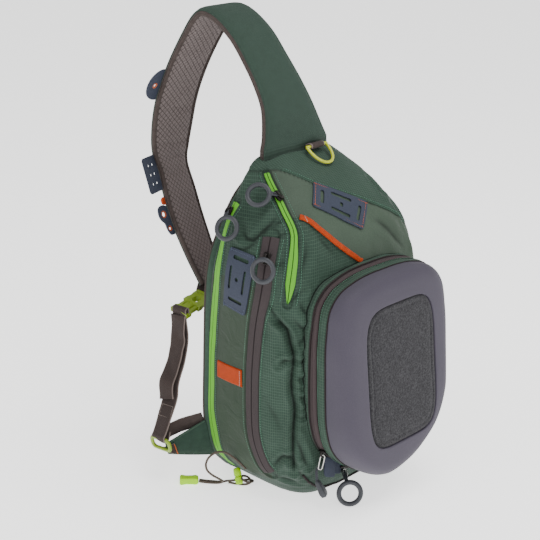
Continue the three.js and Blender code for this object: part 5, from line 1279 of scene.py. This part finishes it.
# Woven binding tape, a little darker than the mesh
taupe_binding = plain_weave("taupe_binding_tape", "#544a47", "#3c3431", 1.1)
round_it = np.linspace(0, 2 * math.pi, 12, endpoint=False)
for side, out, name in ((0.0, -1, "strap_binding_left"), (1.0, 1, "strap_binding_right")):
    ring = [(side, -3.0 + 3.7 * math.sin(a), out * (-1.0 + 2.4 * math.cos(a))) for a in round_it]
    put_on(name, strap_layer(name, ring, 300), taupe_binding, "strap_mesh")


# D-ring: a glossy chartreuse moulding in a folded webbing sleeve on the yoke.
low, high = (np.array(k) * 1000 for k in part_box("d_ring"))
sleeve_low, sleeve_high = (np.array(k) * 1000 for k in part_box("d_ring_sleeve"))
bar = np.array((26, 30, (sleeve_low[2] + sleeve_high[2]) / 2 + 0.2))
tip = np.array((26, low[1] + 2.2, low[2] + 2.2))
down = unit(tip - bar)
sideways = np.array((1, 0, 0))
half_turn = np.linspace(0, math.pi, 40)
bow = [bar + sideways * 18 * math.cos(a) + down * 29 * math.sin(a) ** 0.8 for a in half_turn]
ring = [*bow, *[bar + sideways * x for x in np.linspace(-16, 16, 10)]]
# Glossy acetal with a clear skin
chartreuse = grained_finish("chartreuse_acetal", "#b5bd2a", 0.3, Coat_Weight=0.2)
ring_line = through([*ring, ring[0]], 120)[:-1]
ring_mesh = rope_mesh("d_ring", ring_line, 2.1, 12, closed=True, up=(0, 0.62, -0.78))
put_on("chartreuse_d_ring", ring_mesh, chartreuse, "d_ring_plastic", "d_ring")
# Herringbone webbing with pale selvedges; its twill is drawn at 1.8 mm
brown_webbing, tree, shader = start_finish("brown_herringbone_webbing", "#4b423f", 0.8, Sheen_Weight=0.062)
spot = add(tree, "UVMap", uv_map="weave").outputs[0]
twill = bands_of(tree, spot, 1.8, 0.2, "DIAGONAL")
at_edge = {"Value": off_middle(tree, spot), "From Min": 9.6, "From Max": 11.2}
selvedge = add(tree, "MapRange", at_edge).outputs[0]
colour = mixed(tree, selvedge, mixed(tree, twill, linear("#302826"), linear("#4a403d")), linear("#7a6d68"))
complete(tree, shader, colour, (twill, 0.5, 0.0005))


def flat_band(name, line, across, wide, thick, stations=90, ease=0.0, seed=0.0):
    """A flat strap with rounded edges along a line; across is its width's way."""
    fine = through(line, stations + 1)
    way = unit(np.gradient(fine, axis=0))
    across = np.array(across, float)
    side = unit(across - way * (way @ across)[:, None])
    out = np.cross(way, side)
    spots = rounded_loop(-wide / 2, wide / 2, -thick / 2, thick / 2, thick * 0.45, 2)
    inner = np.linspace(wide / 2 - thick, -wide / 2 + thick, 6)[1:-1]
    over, under = ([(sign * x, sign * thick / 2) for x in inner] for sign in (1, -1))
    ring = spots[:3] + over + spots[3:9] + under + spots[9:]
    x, z = np.array(ring + ring[:1]).T
    mesh, u, v = mesh_grid(name, len(ring), stations)
    col, row = steps(u, len(ring)), steps(v, stations)
    places = zip(x[col] / 16 + seed, row / stations * 7)
    sag = np.array([noise.noise(Vector((across_it, along_it, seed))) for across_it, along_it in places]) * ease
    points = fine[row] + side[row] * x[col][:, None] + out[row] * (z[col] + sag)[:, None]
    shape_grid(mesh, points, np.stack([x[col], walked(fine)[row]], 1))
    return close_up(mesh, fill=True)


def webbing(name, node, line, across, wide, *waves):
    mesh = flat_band(node, line, across, wide, 1.7, *waves)
    put_on(name, mesh, brown_webbing, "webbing", node)


y0, z0 = bar[1], bar[2]
FOLD = ((8.5, -1.2), (4, -2.6), (0, -3.0), (-2.9, -0.6), (-1.8, 2.6), (2, 3.2), (6.5, 1.4), (9, 0.6))
fold = [(26, y0 + behind, z0 + above) for behind, above in FOLD]
webbing("folded_webbing_sleeve", "d_ring_sleeve", fold, (1, 0, 0), 24, 40)


# Sliders and pulls: dark metal sliders, each with a loop of grey cord to a moulded ring.
# Dark plated metal, bright only where it catches the light
gunmetal = grained_finish("dark_bronze_slider_metal", "#2a2726", 0.3, Metallic=0.85)
# Moulded rubber with a fine matt grain
slate_ring, tree, shader = start_finish("slate_moulded_rubber", "#34363b", 0.48)
grain = noise_of(tree, add(tree, "TexCoord").outputs["Object"], 500.0, 2.0)
pitted = add(tree, "Bump", {"Height": grain, "Strength": 0.15, "Distance": 0.0003})
tree.links.new(pitted.outputs[0], shader.inputs["Normal"])
# Round cord of slate polyester through each slider
slate_cord = braid_finish("slate_polyester_cord", "#4a4c52", "#2a2b30", 1.2)


def slider_mesh(name, spot, out, along, lift):
    out = unit(out)
    along = unit(along - out * (out @ along))
    side = np.cross(along, out)
    at = lambda a, h: spot + along * a + out * (lift + h)
    widths = ((-7.6, 3.2), (-6.2, 4.4), (0, 3.8), (5.2, 5.2), (7.6, 3.9))
    plate = [(at(a, 1.3), side * w, out * 1.6) for a, w in widths]
    arch = through([at(-6, 1.6), at(-5.4, 4.6), at(-1.8, 6.4), at(2.4, 6.2), at(5, 4.2), at(5.4, 1.6)], 22)
    return joined_mesh(name, rounded_block(name, plate, 0.8, 2), rope_mesh(name, arch, 1.5, 8, up=out))


def pull_meshes(name, hook, centre, face):
    face, up = unit(face), hook - centre
    up = unit(up - face * (face @ up))
    side = np.cross(up, face)
    # The pocket's ring is a little larger than the others
    radius, wire = (14.3, 3.3) if name == "pocket" else (13.6, 3.0)
    full_turn = np.linspace(0, 2 * math.pi, 56, endpoint=False)
    ring = [centre + radius * (side * math.cos(a) + up * math.sin(a)) for a in full_turn]
    hoop = rope_mesh(name, ring, wire, 12, closed=True, up=face)
    start = centre + up * 13.2
    way = unit(hook - start)
    gap = np.linalg.norm(hook - start)
    neck_end = start + way * max(gap - 5.5, gap * 0.45)
    middle = start + (neck_end - start) * 0.35
    neck = [(start - way * 0.4, side * 3.6, face * 1.9), (middle, side * 2.5, face * 2.0)]
    neck += [(neck_end, side * 2.9, face * 2.1)]
    strand = lambda s: [neck_end - way * 1.5 + s * 1.5, neck_end + way * 1.5 + s * 1.5, hook + s * 1.2]
    cord = [*strand(side), hook + way * 1.6, *strand(-side)[::-1]]
    joined = joined_mesh(name, hoop, rounded_block(name, neck, 0.8, 2))
    return joined, rope_mesh(name, through(cord, 40), 1.25, 8, up=face)


def body_spot(p):
    deep = (SEAM_BACK - p[1]) / (SEAM_BACK + FRONT * float(front_at(p[2] / HEIGHT)))
    return math.degrees(math.atan2(p[0], AXIS_UP - p[2])), deep


# Each slider's place, where its ring hangs from there, and which way the ring faces
PULLS = [
    ("main", (-114.5, 42.25, 372.5), (-22.5, -15.3, -11.5), (-0.86, -0.3, 0.42)),
    ("front", (-79.7, -4.1, 395.2), (-23.3, 10.1, 5.8), (-0.66, -0.42, 0.62)),
    ("side", (-123.8, -29.3, 332), (-20.2, -13.7, -7.0), (-0.9, -0.35, 0.26)),
    ("pocket", (-46.5, -92, 45.3), (-14.5, -25, -26.7), (-0.6, -0.76, 0.25)),
]
zip_way = {"main": (0.55, -0.25, 1), "front": (-0.1, 1, 0.35), "side": (0.15, -0.2, 1)}
for name, spot, hang, face in PULLS:
    spot, hang = np.array(spot, float), np.array(hang, float)
    if name == "pocket":
        out, along, lift = unit((-0.32, 0, -0.95)), (0.95, 0, -0.32), 1.2
    else:
        turn, deep = body_spot(spot)
        out = body_normal(np.array([turn]), np.array([deep]))[0]
        along, lift = np.array(zip_way[name], float), 1.6
    mesh = slider_mesh(name, spot, out, np.array(along, float), lift)
    put_on(f"{name}_zip_slider", mesh, gunmetal, "slider_metal", f"{name}_slider")
    hook = spot + out * (lift + 4.2) + unit(hang) * 1.2
    hoop, loop = pull_meshes(name, hook, spot + hang, face)
    put_on(f"{name}_ring_pull", hoop, slate_ring, "ring_plastic", f"{name}_pull")
    put_on(f"{name}_pull_loop", loop, slate_cord, "ring_plastic")
# Bare bright wire
steel = grained_finish("polished_steel_wire", "#b9b8b4", 0.22, Metallic=1.0)
toggle_turn = math.radians(-39)
toggle_reach = float(pocket_reach(39.0))
spot = np.array((toggle_reach * math.sin(toggle_turn), -92.3, POCKET_UP - toggle_reach * math.cos(toggle_turn)))
out = unit((math.sin(toggle_turn) - 0.1, 0, -math.cos(toggle_turn)))
toggle_slider = slider_mesh("toggle", spot, out, np.array((out[2], 0, -out[0])), 1.2)
put_on("toggle_zip_slider", toggle_slider, gunmetal, "slider_metal", "toggle_slider")
top, low_end = np.array((-95, -84, 47.0)), np.array((-88, -98.7, 17.6))
way = unit(low_end - top)
side = unit(np.cross(way, (0.5, -0.8, 0)))
thin = np.cross(way, side)
TOGGLE_ROWS = ((0.28, 0.5), (0.36, 0.78), (0.6, 0.95), (0.72, 1.12), (0.86, 1.12), (1, 0.86))
rows = [(top + (low_end - top) * a, side * 5.3 * w, thin * 3.7 * w) for a, w in TOGGLE_ROWS]
neck = top + (low_end - top) * 0.32
hook = spot + out * 5.0
low_hook = hook + (neck - hook) * 0.45
half_way = (top + low_hook) / 2
strand = [neck + side * 1.1, half_way + side * 1.5, low_hook, half_way - side * 1.5, neck - side * 1.1]
put_on("moulded_toggle", rounded_block("toggle", rows, 1.2, 3), slate_ring, "ring_plastic", "toggle_pull")
toggle_loop = rope_mesh("toggle_loop", through(strand, 30), 1.6, 8, up=(0.5, -0.8, 0))
put_on("toggle_loop", toggle_loop, slate_cord, "ring_plastic")
# A wire bail joins the slider to its cord, at the toggle and at the pocket's ring
BAIL_FACE = (-0.6, -0.76, 0.25)
BAILS = (
    ("toggle_bail", hook, hook + (neck - hook) * 0.55),
    ("pocket_bail", np.array((-48.5, -95.5, 41.5)), np.array((-54.5, -104.0, 31.5))),
)
for name, start, finish in BAILS:
    way = unit(finish - start)
    aside = unit(np.cross(way, BAIL_FACE)) * 2.6
    leg = lambda s: [start + s * 0.8 + way * 1.5, start + s + way * 5, finish + s * 0.9 - way * 2]
    bail = [start, *leg(aside), finish, *leg(-aside)[::-1]]
    line = through([*bail, start], 60)[:-1] + unit(BAIL_FACE) * 1.6
    put_on(name, rope_mesh(name, line, 0.8, 8, closed=True, up=BAIL_FACE), steel, "slider_metal")


# Tabs on the strap's outer edge: slate coated cloth with punched holes, rings of orange
# round the larger ones, and a folded orange loop.
def tab_surface(share):
    edge, across, along, outward, wide = (k[0] for k in strap_at(np.array([share])))
    origin = edge - across * 2.2
    out, way = -across, along
    lean = np.cross(out, way)

    def place(x, y):
        curl = 1.6 * (x / 30) ** 2
        points = origin + np.outer(x, out) + np.outer(y, way) + np.outer(curl + 0.9, lean)
        return points, np.repeat(lean[None], len(x), 0)

    return place


def circle(x, y, radius, count=20):
    angles = np.linspace(0, 2 * math.pi, count, endpoint=False)
    return [(x + radius * math.cos(a), y + radius * math.sin(a)) for a in angles]


# Moulded rings, a duller orange than the woven trims
orange_ring = grained_finish("terracotta_moulded_eyelet", "#a5522f", 0.5)


def eyelet(name, place, x, y, radius, node):
    spots = np.array(circle(x, y, radius + 0.8, 28))
    line, out = place(spots[:, 0], spots[:, 1])
    ring = rope_mesh(name, line - out * 0.9, 1.25, 8, closed=True, up=out[0])
    put_on(name, ring, orange_ring, "orange_trim", node)


def slate_tab(name, loops, place, node):
    put_on(name, place_plate(node, loops, place, 1.8, 8), slate_cloth, "coated_cloth", node)


half_disc = [(22 * math.cos(a), 22 * math.sin(a)) for a in np.linspace(-math.pi / 2, math.pi / 2, 24)]
place = tab_surface(0.579)
slate_tab("round_gear_tab", [half_disc, circle(9, 0, 3.7)], place, "round_tab")
eyelet("round_tab_eyelet", place, 9, 0, 2.2, "round_eyelet")
place = tab_surface(0.789)
flap = [(0, -25), (27, -25), (30, -22), (30, 22), (27, 25), (0, 25)]
holes_at = [(c * 9.0, r * 13.0) for c in (1, 2) for r in (-1, 0, 1)]
slate_tab("hook_storage_flap", [flap, *[circle(x, y, 2.1, 14) for x, y in holes_at]], place, "hole_flap")
place = tab_surface(0.848)
loop_shape = [(5.5 * math.cos(a), 5.5 * math.sin(a)) for a in np.linspace(-math.pi / 2, math.pi / 2, 12)]
edge_loop = place_plate("loop", [loop_shape], place, 3.4, 8, 1.0)
put_on("orange_edge_loop", edge_loop, orange_weave, "orange_trim", "loop_tab")
place = tab_surface(0.886)
DOUBLE_TAB = [(0, -20), (8, -23), (17, -20), (20, -11), (18, -4), (13, 2), (12, 10)]
DOUBLE_TAB += [(9.5, 17), (6, 20), (0, 20)]
curve = [tuple(k) for k in through(DOUBLE_TAB, 40)]
slate_tab("double_gear_tab", [curve, circle(10, -10.4, 5), circle(6.6, 10.4, 3.8)], place, "double_tab")
eyelet("double_tab_big_eyelet", place, 10, -10.4, 3.4, "big_eyelet")
eyelet("double_tab_small_eyelet", place, 6.6, 10.4, 2.2, "small_eyelet")


# Buckle: an olive side-release moulding, its socket on the strap and its plug on the
# webbing, which runs doubled down to a moulded ring.
# Olive lime acetal, smoother than the cord's mouldings
olive_plastic = grained_finish("olive_lime_acetal", "#7f9a1e", 0.36, Coat_Weight=0.15)
buckle_way = unit((63, 9, 8))
buckle_side = np.array((4.2, -24, -6.0))
buckle_side = unit(buckle_side - buckle_way * (buckle_way @ buckle_side))
buckle_out = np.cross(buckle_side, buckle_way)
buckle_end = np.array((-128, 132, 217.0))


def buckle_place(lift):
    def place(x, y):
        # The moulding bows 1.4 mm over its half width
        rise = lift - 1.4 * (y / 14.5) ** 2
        points = buckle_end + np.outer(x, buckle_way) + np.outer(y, buckle_side) + np.outer(rise, buckle_out)
        return points, np.repeat(buckle_out[None], len(x), 0)

    return place


plug = [(0, -14.5), (0, 14.5), (10, 14.5), (12, 11.5), (30, 11.5), (30, -11.5), (12, -11.5), (10, -14.5)]
socket = [(26, -14.2), (34, -14.5), (38, -12.8), (42, -12.8), (47, -14), (56, -13.5)]
socket += [(x, -y) for x, y in socket[::-1]]
plug_holes = [rounded_loop(3.2, 7.8, -11.5, 11.5, 1.4)]
plug_holes += [rounded_loop(13, 25, -7.6, -5, 1.0), rounded_loop(13, 25, 5, 7.6, 1.0)]
socket_holes = [rounded_loop(49.4, 53.6, -11.5, 11.5, 1.4), rounded_loop(29.5, 43, -5, 5, 4.0)]
plug_mesh = place_plate("plug", [plug, *plug_holes], buckle_place(3.2), 6.4, 6, 1.3)
put_on("buckle_plug_half", plug_mesh, olive_plastic, "buckle_plastic", "buckle_plug")
socket_mesh = place_plate("socket", [socket, *socket_holes], buckle_place(4.4), 8.8, 6, 1.6)
put_on("buckle_socket_half", socket_mesh, olive_plastic, "buckle_plastic", "buckle_socket")
WEBBING_ROUTE = [(-126.6, 131.5, 213.9), (-126, 130, 178), (-136, 127, 150), (-151, 122, 126)]
WEBBING_ROUTE += [(-160, 117, 108), (-176, 110, 88), (-190.3, 105.5, 69.6)]
# How far the loose end stands off the main run, at each point of the route it covers
SPARE = (0.5, 3.4, 5.3, 7.2, 3.8)
webbing_side = unit((0.17, -0.985, 0))
# Round the plug's bar at the top, and round the ring's bar at its foot
loop_top = [(-122, 131.5, 219.5), (-122.5, 132, 223), (-126.5, 132, 221.5)]
loop_foot = [(-188.5, 106.0, 71.5), (-192.5, 105.2, 66.4), (-190.5, 105.3, 60.8), (-185.5, 106, 62.5)]
main_line = [(-121, 131, 212), *loop_top, *WEBBING_ROUTE[:-1], *loop_foot, (-181, 107.6, 70.5)]
webbing("doubled_webbing", "webbing_main", main_line, webbing_side, 23, 170, 1.8, 2.0)
tail = []
for (x, y, z), spare in zip(WEBBING_ROUTE, SPARE):
    aside = 2.1 + spare
    tail.append((x - aside, y + 0.17 * aside, z))
webbing("webbing_loose_end", "webbing_tail", tail, webbing_side, 23, 110, 2.6, 5.0)
edge, across, along, outward, wide = (k[0] for k in strap_at(np.array([1.0])))
start = edge + across * wide * 0.5 - along * 6
finish = buckle_end + buckle_way * 52
middle = (start + finish) / 2 + np.array((-3, 0, -3))
short_line = [start, middle, finish + buckle_way * 3.5]
webbing("strap_end_webbing", "buckle_strap", short_line, buckle_side, 22, 40)
# A box stitch near the foot holds the two layers together
box_line = through(WEBBING_ROUTE, 100)
at = 80
way = unit(box_line[at + 2] - box_line[at - 2])
out = np.cross(webbing_side, way)
out = out if out[0] < 0 else -out
CORNERS = ((-9, -8), (9, -8), (9, 8), (-9, 8), (-9, -8))
line = np.array([box_line[at] + webbing_side * a + way * b + out * 1.2 for a, b in CORNERS])
line = np.vstack([a + (b - a) * share for a, b in zip(line, line[1:]) for share in np.linspace(0, 1, 12)])
outs = np.repeat(out[None], len(line), 0)
stitches("webbing_box_stitch", line, outs, 2.0, thread_taupe, "webbing", radius=0.45)

ring_up = unit((-0.25, 0, 1))
ring_side = np.array((0.17, -0.95, -0.2))
ring_side = unit(ring_side - ring_up * (ring_up @ ring_side))
RING_MIDDLE = np.array((-188, 105, 55.0))
loop = np.array(rounded_loop(-15.4, 15.4, -8.4, 8.4, 5.5, 6))
line = RING_MIDDLE + np.outer(loop[:, 0], ring_side) + np.outer(loop[:, 1], ring_up)
tension_ring = rope_mesh("wing_ring", line, 2.6, 12, closed=True, up=np.cross(ring_side, ring_up))
put_on("lime_tension_ring", tension_ring, olive_plastic, "buckle_plastic", "wing_ring")


# Wing: a padded green triangle from the back panel's lower edge out to the ring, bound
# along its edge, with a bar tack at its tip and a webbing strap behind.
def outline_x(z):
    low, high = np.zeros_like(z), np.full_like(z, HALF_WIDTH * 1.2)
    for _ in range(26):
        x = (low + high) / 2
        inside = np.hypot(x, AXIS_UP - z) < reach_at(np.degrees(np.arctan2(x, AXIS_UP - z)))
        low, high = np.where(inside, x, low), np.where(inside, high, x)
    return high


def wing_point(share, up, rise):
    """share runs from the panel to the tip, up across the wing, rise from its mid plane."""
    low, high = 26 * (1 - share) + 40 * share, 82 * (1 - share) + 55 * share
    z = low * (1 - up) + high * up
    x = -((outline_x(z) + 1.2) * (1 - share) + (180.1 + 4 * (z - low) / (high - low)) * share)
    sag = 3.0 * np.sin(np.pi * up) * np.sin(np.pi * share)
    return np.stack([x, 74 * (1 - share) + 99 * share + rise, z - sag * (up < 0.5)], -1)


mesh, u, v = mesh_grid("wing", 48, 60)
around = 2 * np.pi * u
up = 0.5 - 0.5 * np.cos(around)
soft = np.sin(np.pi * np.clip(up, 0.02, 0.98)) ** 0.4
half = 4.4 * (1 - 0.35 * v) * soft
dimple = np.array([noise.noise(Vector((a * 3.2, b * 4.0, 1.0))) for a, b in zip(up, v)]) * 0.8
points = wing_point(v, up, -np.sign(np.sin(around)) * half + dimple * soft)
shape_grid(mesh, points, points[:, [0, 2]])
# Nylon weave, darker than the strap's
wing_cloth = plain_weave("green_woven_nylon_of_the_wing", "#30453a", "#283a31", 1.3)
wing = put_on("padded_hip_wing", close_up(mesh, fill=True), wing_cloth, "cloth", "wing")
s = np.linspace(0, 1, 40)
low_edge, high_edge = wing_point(s, 0 * s + 0.005, 0 * s), wing_point(s[::-1], 0 * s + 0.995, 0 * s)
trim = np.vstack([low_edge, wing_point(np.ones(8), np.linspace(0.05, 0.95, 8), np.zeros(8)), high_edge])
# Binding tape, paler than the wing
wing_binding = plain_weave("green_binding_tape", "#45594c", "#33463b", 1.1)
edge_mesh = rope_mesh("wing_binding", through(trim, 120), 1.5, 8, up=(0, 1, 0))
put_on("wing_edge_binding", edge_mesh, wing_binding, "cloth")
# Webbing from the ring's lower bar fans out over the tip, under the bar tack
ring_foot = RING_MIDDLE - ring_up * 9.4
mesh, u, v = mesh_grid("wing_tip", 10, 26)
on_bar = ring_foot + np.outer((u - 0.5) * 17, ring_side)
v = v[:, None]
on_wing = wing_point(np.full(len(u), 0.87), 0.88 - 0.76 * u, np.full(len(u), -4.9))
bow = np.outer(-2.6 * np.sin(np.pi * v[:, 0]), (0.3, 1, 0))
shape_grid(mesh, on_bar * (1 - v) + on_wing * v + bow, np.stack([(u - 0.5) * 22, v[:, 0] * 20], 1))
put_on("ring_to_wing_webbing", thickened(mesh, 1.5), brown_webbing, "webbing")
tack_x = np.linspace(0.1, 0.9, 12)
tack = wing_point(np.linspace(0.84, 0.88, 12), tack_x, np.full(12, -5.4))
tack_out = np.repeat(np.array([[-0.3, -0.95, 0]]), 12, 0)
stitches("wing_bar_tack", tack, tack_out, 1.2, thread_orange, "cloth", 1.1, 0.7)
top = np.array((-180, 106.5, 68.0))
low_x = -float(outline_x(np.array([88.0]))[0]) - 1.0
foot = np.array((low_x, SEAM_BACK + 11, 84.0))
middle = (top + foot) / 2 + np.array((0, 3.5, 0))
webbing("wing_webbing", "wing_strap", [top, middle, foot], (-0.35, 0, 1), 21, 40, 0.8, 8.0)


# Back panel: foam under the same taupe air mesh, pressed into pads with channels between
# them, with a green cloth edge all round.
def panel_rise(x, z):
    """How far the padding stands back, from its channels."""
    pads = 1 - bulge_at(x, 0, 6.5, 0.8)
    for level in (112, 205, 298):
        pads *= 1 - bulge_at(z - 0.1 * np.abs(x), level, 5.5, 0.75)
    return pads


mesh, u, v = mesh_grid("panel", 110, 300)
turns = np.interp(v * turn_walked[-1], turn_walked, fine_turn)
reach = reach_at(np.abs(turns))
rim = reach * (1 - u)
angle = np.radians(turns)
x, z = rim * np.sin(angle), np.maximum(AXIS_UP - rim * np.cos(angle), 0)
from_edge = np.minimum(reach * u, np.where(z < 60, z, 99))
pad = 1 - np.clip(1 - from_edge / 26, 0, 1) ** 2.2
seam = bulge_at(from_edge, 9, 1.4, 0.9)
height = 9.4 + 6.4 * pad * (0.45 + 0.55 * panel_rise(x, z)) - seam
points = np.stack([x, SEAM_BACK + height, z], 1)
shape_grid(mesh, points, np.stack([x, z], 1))
close_up(mesh)
pad_mesh = put_on("air_mesh_back_panel", mesh, air_mesh, "back_cloth", "back_panel")
rim_mesh, u, v = mesh_grid("panel_rim", 12, 420)
turns = np.interp(v * turn_walked[-1], turn_walked, fine_turn)
edge_points = body(turns, np.zeros_like(turns), -1.1 * np.sin(np.pi * u))
edge_points[:, 1] = SEAM_BACK - 0.6 + u * 11.0
edge_points[:, 2] = np.maximum(edge_points[:, 2], 0)
shape_grid(rim_mesh, edge_points, np.stack([edge_points[:, 1], v * 1300], 1))
close_up(rim_mesh)
# Plain green cloth of the edge between panel and body
gusset_cloth = plain_weave("dark_green_gusset_cloth", "#3d5546", "#304438", 1.1)
put_on("green_panel_edge", rim_mesh, gusset_cloth, "back_cloth")
rim_turns = np.interp(np.linspace(0, 1, 420, endpoint=False), turn_walked, fine_turn)
rim_line = body(rim_turns, np.zeros(420), 0.4)
rim_line[:, 1], rim_line[:, 2] = SEAM_BACK + 10.4, np.maximum(rim_line[:, 2], 1.6)
rim_binding = rope_mesh("panel_binding", rim_line, 1.7, 8, closed=True, up=(0, 1, 0))
put_on("panel_binding", rim_binding, taupe_binding, "back_cloth")
